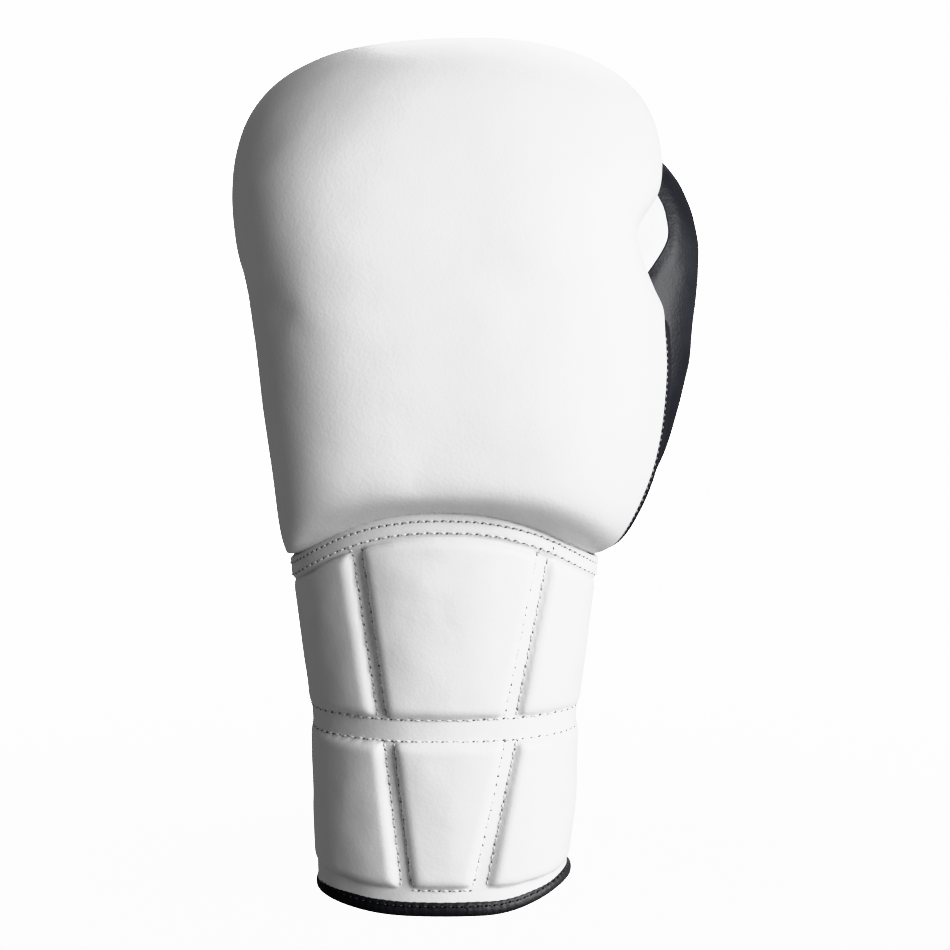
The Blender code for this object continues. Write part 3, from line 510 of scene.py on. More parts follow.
# needle holes: the holes are real, but their dark grey is painted shadow, standing in for the shade inside
# each hole
DARK_HOLE_SHADOW = leather("dark_needle_hole", grey(0.02), grey(0.01), roughness=0.8, grain=0.1)
HOLE_SHADOW = leather("needle_hole_shadow", grey(0.36, 0.005), grey(0.26, 0.005), roughness=0.8, grain=0.1)
LINING = woven("lining_cloth", grey(0.10, 0.01), grey(0.03, 0.004), pitch=0.9)
ELASTIC = woven("elastic_webbing", grey(0.05, 0.004), grey(0.012, 0.001), 1.3, roughness=0.75, sheen=0.15)
HOOKS = woven("hook_tape", grey(0.045), grey(0.006), pitch=1.6, roughness=0.6, sheen=0.0)
FOAM = woven("foam_skin", (0.5, 0.48, 0.44), (0.4, 0.38, 0.35), pitch=2.0, roughness=0.9, sheen=0.0)
THREAD = thread("white_thread", grey(0.80), grey(0.62))
SEAM_THREAD = thread("grey_thread", grey(0.42), grey(0.28))
BLACK_THREAD = thread("black_thread", grey(0.07, 0.005), grey(0.03, 0.004))


def piece(obj, body, material_slot, *nodes, fill=None):
    """Attach a finished piece to its body and hide the CAD nodes it stands for; its padding, fill, is not
    used.
    """
    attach(obj, body)
    if nodes:
        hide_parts(*nodes)
    return obj


def displace(obj, amounts):
    """Move each vertex along its normal by so many millimetres."""
    points = points_of(obj.data) + normals_of(obj.data) * (np.asarray(amounts) * MM)[:, None]
    set_points(obj.data, points)


def creases(obj, lines):
    """Press soft folds into a mesh. Each line is (start, end, depth, width), in millimetres."""
    points = points_of(obj.data) / MM + BOX_CENTRE
    total = np.zeros(len(points))
    for start, end, depth, width in lines:
        start, end = np.array(start, float), np.array(end, float)
        line = end - start
        t = ((points - start) @ line) / (line @ line)
        t = np.clip(t, 0, 1)
        bow = np.sin(t * math.pi)
        nearest = start + t[:, None] * line
        nearest[:, 2] += 1.6 * bow
        distance = np.linalg.norm(points - nearest, axis=1)
        banks = 0.35 * bell(distance - 2 * width, width)
        total += depth * (banks - bell(distance, width)) * np.clip(bow * 1.6, 0, 1)
    displace(obj, total)


def undulate(obj, size, height, seed):
    """Slow unevenness of leather over foam."""
    points = points_of(obj.data)
    shift = Vector((seed * 3.7, seed * 1.3, seed * 2.1))
    amounts = [noise.noise(Vector(p) / (size * MM) + shift) * height for p in points]
    displace(obj, amounts)


# ---------------------------------------------------------------- cloth
CLOTH_FRAMES = 20


def inflate(obj, held, cap):
    """Swell a closed mesh with a cloth simulation; no vertex moves more than cap millimetres."""
    before = points_of(obj.data)
    group = obj.vertex_groups.new(name="held")
    group.add([int(i) for i in np.nonzero(held)[0]], 1.0, "REPLACE")
    cloth = obj.modifiers.new("cloth", "CLOTH")
    settings = cloth.settings
    settings.use_pressure = True
    settings.uniform_pressure_force = 4.0
    settings.mass = 0.4
    settings.quality = 6
    settings.tension_stiffness = settings.compression_stiffness = 25
    settings.bending_stiffness = 3
    settings.shrink_min = -0.012
    settings.vertex_group_mass = "held"
    settings.pin_stiffness = 1.0
    settings.effector_weights.gravity = 0
    cloth.point_cache.frame_start, cloth.point_cache.frame_end = 1, CLOTH_FRAMES
    scene = bpy.context.scene
    scene.frame_start, scene.frame_end = 1, CLOTH_FRAMES
    for step in range(1, CLOTH_FRAMES + 1):
        scene.frame_set(step)
    apply_modifiers(obj)
    scene.frame_set(1)
    obj.vertex_groups.clear()
    move = points_of(obj.data) - before
    length = np.linalg.norm(move, axis=1)
    limit = cap * MM
    factor = limit * np.tanh(length / limit) / np.maximum(length, 1e-9)
    set_points(obj.data, before + move * factor[:, None])


# ---------------------------------------------------------------- stitches
def polyline(points, pitch):
    """Evenly spaced points along a polyline, about pitch apart."""
    points = np.asarray(points, float)
    steps = np.linalg.norm(np.diff(points, axis=0), axis=1)
    total = np.concatenate([[0], np.cumsum(steps)])
    count = max(2, int(round(total[-1] / pitch)))
    at = np.linspace(0, total[-1], count + 1)
    return np.stack([np.interp(at, total, points[:, k]) for k in range(3)], 1)


def tree_of(objects):
    """A search tree over the surfaces of objects, in metres."""
    points, faces, start = [], [], 0
    for obj in objects:
        points += [v.co.copy() for v in obj.data.vertices]
        faces += [[start + i for i in p.vertices] for p in obj.data.polygons]
        start = len(points)
    return BVHTree.FromPolygons(points, faces)


# a bar's side count and its cross sections from end to end, then the needle holes, which lie askew; the holes
# are near-flat cones whose grey colour is painted shadow
STITCH_SIDES, STITCH_BENDS = 6, (-1, -0.75, -0.3, 0.3, 0.75, 1)
HOLE_LENGTH, HOLE_WIDTH, HOLE_RIM, HOLE_DEPTH, HOLE_SLANT = 0.72, 0.36, 0.12, 0.1, 0.45
STITCH_TURNS = [2 * math.pi * k / STITCH_SIDES for k in range(STITCH_SIDES)]
ROUND_STITCH = [(math.cos(turn), math.sin(turn)) for turn in STITCH_TURNS]


def sweep_faces(rows, columns):
    """Faces of a closed tube of rows rings of columns points, with both ends."""
    ends = [tuple(range(columns)), tuple((rows - 1) * columns + k for k in range(columns))[::-1]]
    return grid_faces(rows, columns, closed=True) + ends


BAR_FACES = sweep_faces(len(STITCH_BENDS), STITCH_SIDES)
HOLE_FACES = [tuple(range(STITCH_SIDES))]
HOLE_FACES += [((k + 1) % STITCH_SIDES, k, STITCH_SIDES) for k in range(STITCH_SIDES)]


def stitch_bar(found, normal, way, side, half, radius):
    """Points in metres of a round bar that dips at both ends."""
    points = []
    for bend in STITCH_BENDS:
        rise = (0.16 - 0.5 * abs(bend) ** 3) * MM
        size = radius * MM * (1 - 0.35 * bend**2)
        centre = found + way * (half * bend) + normal * rise
        points += [centre + side * (size * x) + normal * (size * y) for x, y in ROUND_STITCH]
    return points


def needle_hole_shadow(found, normal, way, side):
    """Points in metres of a shallow cone in the gap after a bar, which carries the hole's painted shadow."""
    slant = (way + side * HOLE_SLANT).normalized()
    along, beside = slant * (HOLE_LENGTH * MM), normal.cross(slant) * (HOLE_WIDTH * MM)
    rim = found + normal * (HOLE_RIM * MM)
    return [rim + along * x + beside * y for x, y in ROUND_STITCH] + [found - normal * (HOLE_DEPTH * MM)]


def stitches(
    name, lines, surfaces, pitch, body="glove", length=0.56, radius=0.33, thread=THREAD, hole_shadow_material=HOLE_SHADOW
):
    """Rows of thread lying on surfaces, with a needle hole between each two bars, whose dark grey is painted
    shadow.
    """
    search = tree_of(surfaces)
    points, faces, slots = [], [], []
    random.seed(7)
    for line in lines:
        spots = polyline(line, pitch)
        for a, b in zip(spots, spots[1:]):
            found, normal, _, _ = search.find_nearest(Vector(metres((a + b) / 2)))
            way = Vector(metres(b) - metres(a))
            way = (way - normal * way.dot(normal)).normalized()
            way = (way + normal.cross(way) * random.uniform(-0.06, 0.06)).normalized()
            side = normal.cross(way)
            gap = np.linalg.norm(b - a) / 2 * MM
            faces += [tuple(len(points) + k for k in face) for face in BAR_FACES]
            points += stitch_bar(found, normal, way, side, gap * length * random.uniform(0.94, 1.05), radius)
            found, normal, _, _ = search.find_nearest(found + way * gap)
            faces += [tuple(len(points) + k for k in face) for face in HOLE_FACES]
            points += needle_hole_shadow(found, normal, way, side)
            slots += [0] * len(BAR_FACES) + [1] * len(HOLE_FACES)
    mesh = bpy.data.meshes.new(name)
    mesh.from_pydata([tuple(p) for p in points], [], faces)
    mesh.materials.append(thread)
    mesh.materials.append(hole_shadow_material)
    obj = bpy.data.objects.new(name, mesh)
    bpy.context.scene.collection.objects.link(obj)
    for polygon, slot in zip(mesh.polygons, slots):
        polygon.use_smooth = True
        polygon.material_index = slot
    face_outwards(obj)
    return piece(obj, body, "white_leather")


# ---------------------------------------------------------------- the mitt
def even_steps(path, first, last, count):
    """count + 1 values from first to last whose points on path(values) are evenly spaced."""
    fine = np.linspace(first, last, 600)
    points = path(fine)
    run = np.concatenate([[0], np.cumsum(np.linalg.norm(np.diff(points, axis=0), axis=1))])
    return np.interp(np.linspace(0, run[-1], count + 1), run, fine)


ROW_COUNT, BACK_COUNT, PALM_COUNT = 96, 50, 42
# the panels of a form, as the slots of its materials
BACK, PALM, OPENING = 0, 1, 2
MITT_HELD = (0.02, 0.97)
MITT_SWELL, MITT_SWELL_SHARES, THUMB_SWELL = (0.1, 2.9), (0.11, 0.33), 2.0


def across_knuckles(angle):
    return mitt_surface(0 * angle + 0.3, angle)


def panelled(name, points, faces, panel):
    """A closed form whose faces carry their panel's material."""
    obj = new_object(name, points, faces)
    for material in (WHITE, BLACK, FOAM):
        obj.data.materials.append(material)
    for polygon, index in zip(obj.data.polygons, panel):
        polygon.material_index = index
    return obj


def make_mitt():
    """Both leather panels of the mitt, as one swollen form that is then divided at its seams."""
    shares = even_steps(lambda s: mitt_surface(s, 0 * s + 20), 0, 1, ROW_COUNT)
    back_columns = even_steps(across_knuckles, BACK_SEAM_OUTER, BACK_SEAM_THUMB, BACK_COUNT)
    palm_columns = even_steps(across_knuckles, BACK_SEAM_THUMB, 360 + BACK_SEAM_OUTER, PALM_COUNT)
    columns = np.concatenate([back_columns, palm_columns[1:-1]])
    rows, cols = len(shares), len(columns)
    share, angle = np.meshgrid(shares, columns, indexing="ij")
    points = mitt_surface(share, at_seam(share, angle)).reshape(-1, 3)
    faces = grid_faces(rows, cols, closed=True)
    cells = [(i, j) for i in range(rows - 1) for j in range(cols)]
    panel = [BACK if j < BACK_COUNT or shares[i] > TIP_SEAM else PALM for i, j in cells]
    # the wrist end and the fingertips' end are closed while the form swells
    last = (rows - 1) * cols
    points = np.vstack([points, points[:cols].mean(0), points[last:].mean(0)])
    faces += [(j, rows * cols, (j + 1) % cols) for j in range(cols)]
    faces += [(last + (j + 1) % cols, rows * cols + 1, last + j) for j in range(cols)]
    panel += [OPENING] * cols + [BACK] * cols
    obj = panelled("mitt_form", points, faces, panel)
    face_outwards(obj)
    flat_share = np.concatenate([np.repeat(shares, cols), [0, 1]])
    held = (flat_share < MITT_HELD[0]) | (flat_share > MITT_HELD[1])
    # the rim keeps its line, where it is sewn to the cuff
    least, more = MITT_SWELL
    inflate(obj, held, least + more * eased(flat_share, *MITT_SWELL_SHARES))
    return obj


def seam_groove(obj, depth=1.0, width=1.7):
    """Sink a form's surface towards its sewn seams, and swell it beside them."""
    points, seam = points_of(obj.data), seam_points(obj.data)
    search = KDTree(len(seam))
    for i, p in enumerate(seam):
        search.insert(p, i)
    search.balance()
    amounts = np.zeros(len(points))
    for i, p in enumerate(points):
        distance = search.find(p)[2] / MM
        if distance < 12:
            amounts[i] = 0.35 * bell(distance - 5, 3) - depth * bell(distance, width)
    displace(obj, amounts)


def split_by_panel(obj, names, thickness):
    """One object for each named panel of obj, which is then removed, each given thickness."""
    made = []
    for index, name in enumerate(names):
        copy = obj.copy()
        copy.data = obj.data.copy()
        copy.name = copy.data.name = name
        bpy.context.scene.collection.objects.link(copy)
        bm = bmesh.new()
        bm.from_mesh(copy.data)
        bmesh.ops.delete(bm, geom=[f for f in bm.faces if f.material_index != index], context="FACES")
        for face in bm.faces:
            face.material_index = 0
            face.smooth = True
        bm.to_mesh(copy.data)
        bm.free()
        material = obj.data.materials[index]
        copy.data.materials.clear()
        copy.data.materials.append(material)
        thicken(copy, thickness)
        made.append(copy)
    bpy.data.objects.remove(obj)
    return made


def seam_points(mesh):
    """The points of the edges between faces of two materials, closely spaced."""
    index = {}
    found = []
    for polygon in mesh.polygons:
        for key in polygon.edge_keys:
            if key in index and index[key] != polygon.material_index:
                a, b = mesh.vertices[key[0]].co, mesh.vertices[key[1]].co
                found += [a.copy(), (a + b) / 2]
            index[key] = polygon.material_index
    return found


mitt_form = make_mitt()
subdivide(mitt_form)
undulate(mitt_form, 45, 0.9, 1)
undulate(mitt_form, 16, 0.22, 2)
seam_groove(mitt_form)
# folds where the leather turns at the little finger's side, and a few fainter ones below them
creases(
    mitt_form,
    [
        ((-80, -26, 283), (-74, -52, 279), 0.8, 1.6),
        ((-80, -24, 276), (-66, -54, 270), 0.9, 1.7),
        ((-80, -26, 269), (-70, -52, 265), 0.9, 1.5),
        ((-79, -22, 263), (-71, -52, 254), 1.1, 1.7),
        ((-78, -26, 256), (-70, -52, 248), 0.9, 1.6),
        ((-77, -24, 247), (-67, -54, 235), 0.8, 1.8),
        ((-76, -26, 237), (-69, -52, 227), 0.6, 1.8),
        ((-74, -24, 225), (-67, -52, 213), 0.4, 2.0),
        ((-79, -18, 288), (-75, -44, 289), 0.5, 1.6),
    ],
)
subdivide(mitt_form)
mitt_back, mitt_palm = split_by_panel(mitt_form, ("mitt_back_leather", "mitt_palm_leather"), 1.4)
mitt_back_nodes = ("mitt_back_panel", "knuckle_foam_outer", "knuckle_foam_inner")
piece(mitt_back, "glove", "white_leather", *mitt_back_nodes, fill=0.9)
piece(mitt_palm, "glove", "black_leather", "mitt_palm_panel", "palm_foam", fill=0.8)


# ---------------------------------------------------------------- the thumb
def inside_of(obj, margin):
    """A test for whether a point in metres lies deeper than margin millimetres under obj's outer surface."""
    points = [v.co.copy() for v in obj.data.vertices]
    search = BVHTree.FromPolygons(points, [list(p.vertices) for p in obj.data.polygons])

    def test(point):
        found, normal, _, _ = search.find_nearest(point)
        return (Vector(point) - found).dot(normal) < -margin * MM

    return test


INNER_COUNT, OUTER_COUNT = 14, 30


def make_thumb():
    heights = np.concatenate([np.linspace(THUMB_SECTIONS[0][0], 274.5, 42), TIP_HEIGHTS])
    inner = np.linspace(THUMB_SEAM_INNER, THUMB_SEAM_BACK, INNER_COUNT, endpoint=False)
    outer = np.linspace(THUMB_SEAM_BACK, 360 + THUMB_SEAM_INNER, OUTER_COUNT, endpoint=False)
    z, a = np.meshgrid(heights, np.concatenate([inner, outer]), indexing="ij")
    # the seam leans: low down the dark leather reaches further round towards the fist
    low = 1 - np.clip((z - THUMB_WEB_Z) / SEAM_LEAN_LENGTH, 0, 1) ** 0.8
    high = np.clip((z - TIP_LEAN_FROM) / TIP_LEAN_LENGTH, 0, 1)
    lean = (low * SEAM_LEAN + high * TIP_LEAN) * bell(a - THUMB_SEAM_BACK, SEAM_LEAN_REACH)
    points = thumb_surface(z, a - lean).reshape(-1, 3)
    rows, cols = z.shape
    faces = grid_faces(rows, cols, closed=True)
    light_rows = [THUMB_WEB_Z - 4 < height < THUMB_INNER_TOP for height in heights]
    cells = [(i, j) for i in range(rows - 1) for j in range(cols)]
    panel = [BACK if j < INNER_COUNT and light_rows[i] else PALM for i, j in cells]
    top = [(rows - 1) * cols + j for j in range(cols)]
    points = np.vstack([points, points[top].mean(0) + (0, 0, 0.3), points[:cols].mean(0)])
    faces += [(top[j], top[(j + 1) % cols], len(points) - 2) for j in range(cols)]
    faces += [((j + 1) % cols, j, len(points) - 1) for j in range(cols)]
    panel += [PALM] * cols + [OPENING] * cols
    obj = panelled("thumb_form", points, faces, panel)
    inflate(obj, np.concatenate([z.ravel() < 150, [False, True]]), THUMB_SWELL)
    return obj


thumb_form = make_thumb()
subdivide(thumb_form)
undulate(thumb_form, 30, 0.7, 3)
undulate(thumb_form, 10, 0.3, 4)
seam_groove(thumb_form, 0.7, 1.4)
creases(
    thumb_form,
    [
        ((85, 22, 276), (94, 26, 266), 0.8, 1.1),
        ((86, 20, 272), (95, 25, 261), 0.8, 1.1),
        ((87, 18, 268), (95, 23, 256), 0.7, 1.2),
        ((86, 17, 262), (94, 20, 250), 0.7, 1.2),
        ((84, 24, 280), (91, 28, 272), 0.6, 1.0),
        ((88, 16, 257), (94, 18, 244), 0.4, 1.3),
    ],
)
subdivide(thumb_form)
thumb_inner, thumb_outer = split_by_panel(thumb_form, ("thumb_inner_leather", "thumb_outer_leather"), 1.3)
deep = inside_of(mitt_back, 3.0)
deep_palm = inside_of(mitt_palm, 3.0)
for thumb_piece in (thumb_inner, thumb_outer):
    bm = bmesh.new()
    bm.from_mesh(thumb_piece.data)
    buried = [v for v in bm.verts if deep(v.co) and deep_palm(v.co)]
    bmesh.ops.delete(bm, geom=buried, context="VERTS")
    bm.to_mesh(thumb_piece.data)
    bm.free()
piece(thumb_inner, "glove", "white_leather", "thumb_back_panel", "thumb_foam_inner", fill=0.9)
piece(thumb_outer, "glove", "black_leather", "thumb_outer_panel", "thumb_foam_outer", fill=0.9)


# ---------------------------------------------------------------- the cuff
def angle_of(x, z):
    half_width = smooth_table(CUFF_RINGS, z)[0]
    across = x / (half_width + 1.5)
    return np.degrees(np.arcsin(squared(across, 4 / CUFF_ROUNDNESS)))


LOWER_ROW = (HEM_BAND_TOP, CHANNEL_BOTTOM, LOWER_CHANNELS)
UPPER_ROW = (CHANNEL_TOP, junction(30) - BAND_WIDTH, UPPER_CHANNELS)


def channel_angles(z, row):
    """The angles of the middle of a row's two channels at heights z."""
    low, high, channels = row
    share = (z - low) / (high - low)
    return [angle_of(bottom + (top - bottom) * share, z) for bottom, top in channels]


def smooth_least(values, softness):
    """The least of several arrays, with rounded corners between them."""
    total = sum(np.exp(-v / softness) for v in values)
    return -softness * np.log(total)


def shoulder(inside):
    """A pad's height as a share of its full height, at distances inside its edge."""
    t = np.clip((inside + 0.6) / PAD_SHOULDER, 0, 1)
    return np.sqrt(1 - (1 - t) ** 2)


def cover_rise(angle, z):
    """Height of the back's leather over its backing, in millimetres."""
    rise = np.zeros_like(angle)
    beside = eased(np.abs(angle), 40, 82)
    lower = (hem_top(angle) + 1.4, np.full_like(angle, CHANNEL_BOTTOM), LOWER_ROW)
    upper = (np.full_like(angle, CHANNEL_TOP), junction(angle) - BAND_WIDTH, UPPER_ROW)
    for low, high, row in (lower, upper):
        edges = [-PAD_SIDE, *channel_angles(np.clip(z, low, high), row), PAD_SIDE]
        gaps = (0, *CHANNEL_HALF_WIDTHS, 0)
        for k in range(3):
            left = (angle - edges[k]) * MM_PER_DEGREE - gaps[k]
            right = (edges[k + 1] - angle) * MM_PER_DEGREE - gaps[k + 1]
            inside = smooth_least([left, right, z - low, high - z], 0.9)
            pad = PAD_RISE * shoulder(inside) + PAD_CROWN * np.clip(inside / 18, 0, 1)
            rise = np.maximum(rise, pad * (1 - SIDE_PAD_LOSS * beside))
    # the band at the top lies over the pads' leather, and a little padding is under its middle
    up = z - (junction(angle) - BAND_WIDTH + 0.8)
    band = (BAND_RISE - 1.1 * beside) * eased(up, 0, 1.4) + 0.3 * bell(up - 3.2, 1.5) * (up > 0)
    rise = np.maximum(rise, band) + SIDE_PADDING * beside * (1 - 0.6 * eased(np.abs(angle), 92, 106))
    # the lower corner on the thumb's side is pulled in by the hem
    rise = rise - CORNER_PULL * eased(angle, 45, 80) * (1 - eased(z, 8, 46))
    # its upper edge turns in under the mitt, and is a dark line there
    return rise - RIM_TURN * np.clip((z - junction(angle) + 1.1) / 1.9, 0, 1) ** 2


def make_cuff_cover():
    angles = np.linspace(-SIDE_SEAM, SIDE_SEAM, 216)
    up = np.linspace(0, 1, 150)
    u, a = np.meshgrid(up, angles, indexing="ij")
    first = CUFF_LOW + hem_lift(a)
    z = first + (junction(a) + 0.8 - first) * u
    points = cuff_surface(a, z, COVER_LIFT + cover_rise(a, z)).reshape(-1, 3)
    obj = new_object("cuff_cover", points, grid_faces(len(up), len(angles)), WHITE)
    undulate(obj, 14, 0.25, 5)
    undulate(obj, 5, 0.04, 6)
    thicken(obj, 1.3)
    return obj


cuff_cover = make_cuff_cover()
piece(
    cuff_cover,
    "glove",
    "white_leather",
    *[
        f"cuff_{kind}_{row}_{side}"
        for kind in ("pad", "foam")
        for row in ("lower", "upper")
        for side in ("outer", "centre", "thumb")
    ],
    *[f"cuff_channel_{row}_{side}" for row in ("lower", "upper") for side in ("outer", "thumb")],
    "cuff_cross_channel",
    "cuff_hem_band",
    "cuff_top_band",
    fill=0.9,
)


def cover_line(angle_z):
    """Points of the cover's surface along (angle, z) pairs."""
    table = np.asarray(angle_z, float)
    return cuff_surface(table[:, 0], table[:, 1], COVER_LIFT + cover_rise(table[:, 0], table[:, 1]))


def channel_rows(row, past):
    """The two rows of stitches beside each channel, which start past millimetres above its lower end."""
    made = []
    z = np.linspace(row[0] + past, row[1] + 1, 40)
    for middle, half_width in zip(channel_angles(z, row), CHANNEL_HALF_WIDTHS):
        for side in (-1, 1):
            made.append(cover_line(np.stack([middle + side * (half_width - 0.9) / MM_PER_DEGREE, z], 1)))
    return made


def level_row(height, first=-SIDE_SEAM + 3, last=SIDE_SEAM - 3):
    angles = np.linspace(first, last, 160)
    z = height(angles) if callable(height) else np.full_like(angles, height)
    return cover_line(np.stack([angles, z], 1))


COVER_ROWS = (
    ("channels", channel_rows(UPPER_ROW, -1) + channel_rows(LOWER_ROW, 1), 3.3),
    ("cross_channel", [level_row(CHANNEL_TOP - 1.2), level_row(CHANNEL_BOTTOM + 1.2)], 3.8),
    ("hem", [level_row(hem_top, -12.5, 9.5)], 3.6),
    ("band_upper", [level_row(lambda a: junction(a) - 2.8)], 2.9),
    ("band_lower", [level_row(lambda a: junction(a) - 7.1)], 3.6),
)
for row_name, row_lines, row_pitch in COVER_ROWS:
    stitches(f"stitches_{row_name}", row_lines, [cuff_cover], row_pitch)


# ---------------------------------------------------------------- the palm side of the cuff
CUFF_HEIGHT = MITT_STATIONS[0][1]
SIDES = (("thumb", 1), ("outer", -1))


def slit_angle(z):
    return np.degrees(np.arcsin(SLIT_HALF_WIDTH / smooth_table(CUFF_RINGS, z)[0]))


def make_flap(side, sign):
    rows, cols = 110, 80
    u, c = np.meshgrid(np.linspace(0, 1, rows), np.linspace(0, 1, cols), indexing="ij")
    z = CUFF_LOW + (CUFF_HEIGHT - CUFF_LOW) * u
    first, last = SIDE_SEAM + 0.5, 180 - slit_angle(z) - 1.6
    angle = sign * (first + (last - first) * c)
    z = z + hem_lift(angle) * (1 - u)
    edges = [c * FLAP_WIDTH - 1.5, (1 - c) * FLAP_WIDTH - 3.5, z - 12, CUFF_HEIGHT - 9 - z]
    points = cuff_surface(angle, z, COVER_LIFT + FLAP_RISE * shoulder(smooth_least(edges, 0.9)))
    if sign < 0:
        points = points[:, ::-1]
    obj = new_object(f"palm_flap_{side}_leather", points.reshape(-1, 3), grid_faces(rows, cols), WHITE)
    undulate(obj, 14, 0.25, 8 + sign)
    thicken(obj, 1.3)
    return piece(obj, "glove", "white_leather", f"palm_flap_{side}", f"palm_flap_foam_{side}", fill=0.8)


def tube_along(name, spine, normals, profile, material):
    """A profile (outward, sideways) in millimetres swept along a spine with known outward normals."""
    ways = np.gradient(spine, axis=0)
    ways /= np.linalg.norm(ways, axis=1)[:, None]
    sides = np.cross(ways, normals)
    sides /= np.linalg.norm(sides, axis=1)[:, None]
    points = []
    for spot, normal, side in zip(spine, normals, sides):
        points += [spot + normal * out + side * across for out, across in profile]
    obj = new_object(name, points, sweep_faces(len(spine), len(profile)), material)
    face_outwards(obj)
    return obj


def rounded(width, height, count=20, exponent=3.2):
    """A rounded-rectangle profile, of (outward, sideways) points."""
    turn = np.linspace(0, 2 * math.pi, count, endpoint=False)
    out, across = squared(np.cos(turn), exponent), squared(np.sin(turn), exponent)
    return np.stack([height / 2 * out, width / 2 * across], 1)


def outward(angle, z):
    normal = cuff_surface(angle, z, 1) - cuff_surface(angle, z, 0)
    return normal / np.linalg.norm(normal, axis=-1, keepdims=True)


def make_slit_binding(side, sign):
    z = np.linspace(1.4, CUFF_HEIGHT + 0.5, 90)
    angle = sign * (180 - slit_angle(z) - 0.3)
    spine = cuff_surface(angle, z, -1.3)
    obj = tube_along(f"slit_edge_{side}", spine, outward(angle, z), rounded(3.6, 7.2), BLACK)
    undulate(obj, 4, 0.12, 11 + sign)
    return piece(obj, "glove", "black_leather", f"slit_binding_{side}")


for side, sign in SIDES:
    make_flap(side, sign)
for side, sign in SIDES:
    make_slit_binding(side, sign)

# the hem's binding: half its thickness and height, its roundness, and how far it stands out at each side
HEM_HALF_WIDTH, HEM_HALF_HEIGHT, HEM_ROUNDNESS = 4.3, 3.25, 2.8
HEM_OUT_OUTER, HEM_OUT_THUMB, HEM_IN = 1.9, 0.9, 1.05
HEM_STITCHES, HEM_PITCH = 4.6, 3.1


def make_hem():
    """The binding rolled round the hem: a fat U with the pull of its stitches in it."""
    angles = np.linspace(-172, 172, 420)
    turns = np.linspace(0, 2 * math.pi, 26, endpoint=False)
    a, t = np.meshgrid(angles, turns, indexing="ij")
    run = a * MM_PER_DEGREE * 2 * math.pi
    gather = 0.18 * np.sin(run / HEM_PITCH) + 0.1 * np.sin(run / 1.7 + 1)
    raised = hem_lift(a)
    wider = eased(np.abs(a), 35, 85) * (1 - eased(np.abs(a), 120, 170))
    wider = wider * np.where(a < 0, HEM_OUT_OUTER, HEM_OUT_THUMB)
    half_height = HEM_HALF_HEIGHT - 0.1 * raised
    x = squared(np.cos(t), HEM_ROUNDNESS) * (HEM_HALF_WIDTH + 0.35 * gather)
    y = squared(np.sin(t), HEM_ROUNDNESS) * half_height
    height = half_height + y + np.where(y > 1.5, 0.25 * gather, 0)
    dent = 0.3 * bell(height - HEM_STITCHES, 0.7) * (x > 2)
    level = np.ones_like(a)
    points = cuff_surface(a, level, 0) + outward(a, level) * (wider - HEM_IN + x - dent)[..., None]
    points[..., 2] = np.maximum(height, 0.0) + raised
    obj = new_object("hem_roll", points.reshape(-1, 3), sweep_faces(*a.shape), BINDING)
    face_outwards(obj)
    return piece(obj, "glove", "black_leather", "hem_binding")


hem = make_hem()
hem_angles = np.linspace(-170, 170, 300)
hem_line = cuff_surface(hem_angles, HEM_STITCHES + hem_lift(hem_angles), 3.0)
stitches("stitches_binding", [hem_line], [hem], HEM_PITCH, radius=0.3, thread=BLACK_THREAD, hole_shadow_material=DARK_HOLE_SHADOW)


# ---------------------------------------------------------------- linings and inner pieces
def shell(name, surface, rows, columns, material, thickness, closed=False):
    """A sheet of cloth over surface(row, column)."""
    r, c = np.meshgrid(rows, columns, indexing="ij")
    points = surface(r, c).reshape(-1, 3)
    obj = new_object(name, points, grid_faces(len(rows), len(columns), closed=closed), material)
    undulate(obj, 18, 0.5, len(name))
    thicken(obj, thickness)
    return obj


# the hand's lining, given as the mitt is
HAND_STATIONS = (
    (-29, 134, 25, 134, 43, 43),
    (-28.5, 139, 24.5, 139, 43, 43),
    (-28, 150, 24, 150, 43, 43),
    (-27, 171, 20, 170, 43, 43),
    (-26, 200, 16, 194, 43, 43),
    (-25, 232, 13, 222, 43, 43),
    (-23, 254, 10, 232, 43, 43),
    (-16, 274, 10, 240, 43, 43),
    (-5, 288, 11, 248, 42, 42),
    (9, 297, 16, 254, 42, 42),
    (23, 298, 22, 256, 41, 41),
    (37, 290, 28, 254, 40, 38),
    (48, 276, 32, 249, 39, 34),
    (53, 259, 35, 243, 37, 30),
    (50, 244, 38, 239, 30, 24),
    (44, 240, 44, 240, 0.5, 0.5),
)


HAND_ROUNDNESS, HAND_EASE, LINING_LOW = 2.3, 1.1, 2.0


def hand_surface(share, angle):
    y, z, half, way_y, way_z, left, right = ribs(HAND_STATIONS, share)
    turn = np.radians(angle)
    across, along = squared(np.sin(turn), HAND_ROUNDNESS), squared(np.cos(turn), HAND_ROUNDNESS)
    width, reach = np.where(across > 0, right, left) + HAND_EASE, (half + HAND_EASE) * along
    return np.stack([width * across, y + way_y * reach, z + way_z * reach], -1)


def across_wall(z, across):
    """Angles round the cuff's lining from one edge of the slit to the other."""
    return (180 - slit_angle(z) - 2.0) * (2 * across - 1)


def cuff_wall(up, across):
    angle = across_wall(LINING_LOW + (junction(0) - LINING_LOW) * up, across)
    z = LINING_LOW + hem_lift(angle) * (1 - up) + (junction(angle) - 0.5 - LINING_LOW) * up
    return cuff_surface(across_wall(z, across), z, -3.5)


def tongue_surface(z, angle):
    return cuff_surface(angle, z, -5.6)


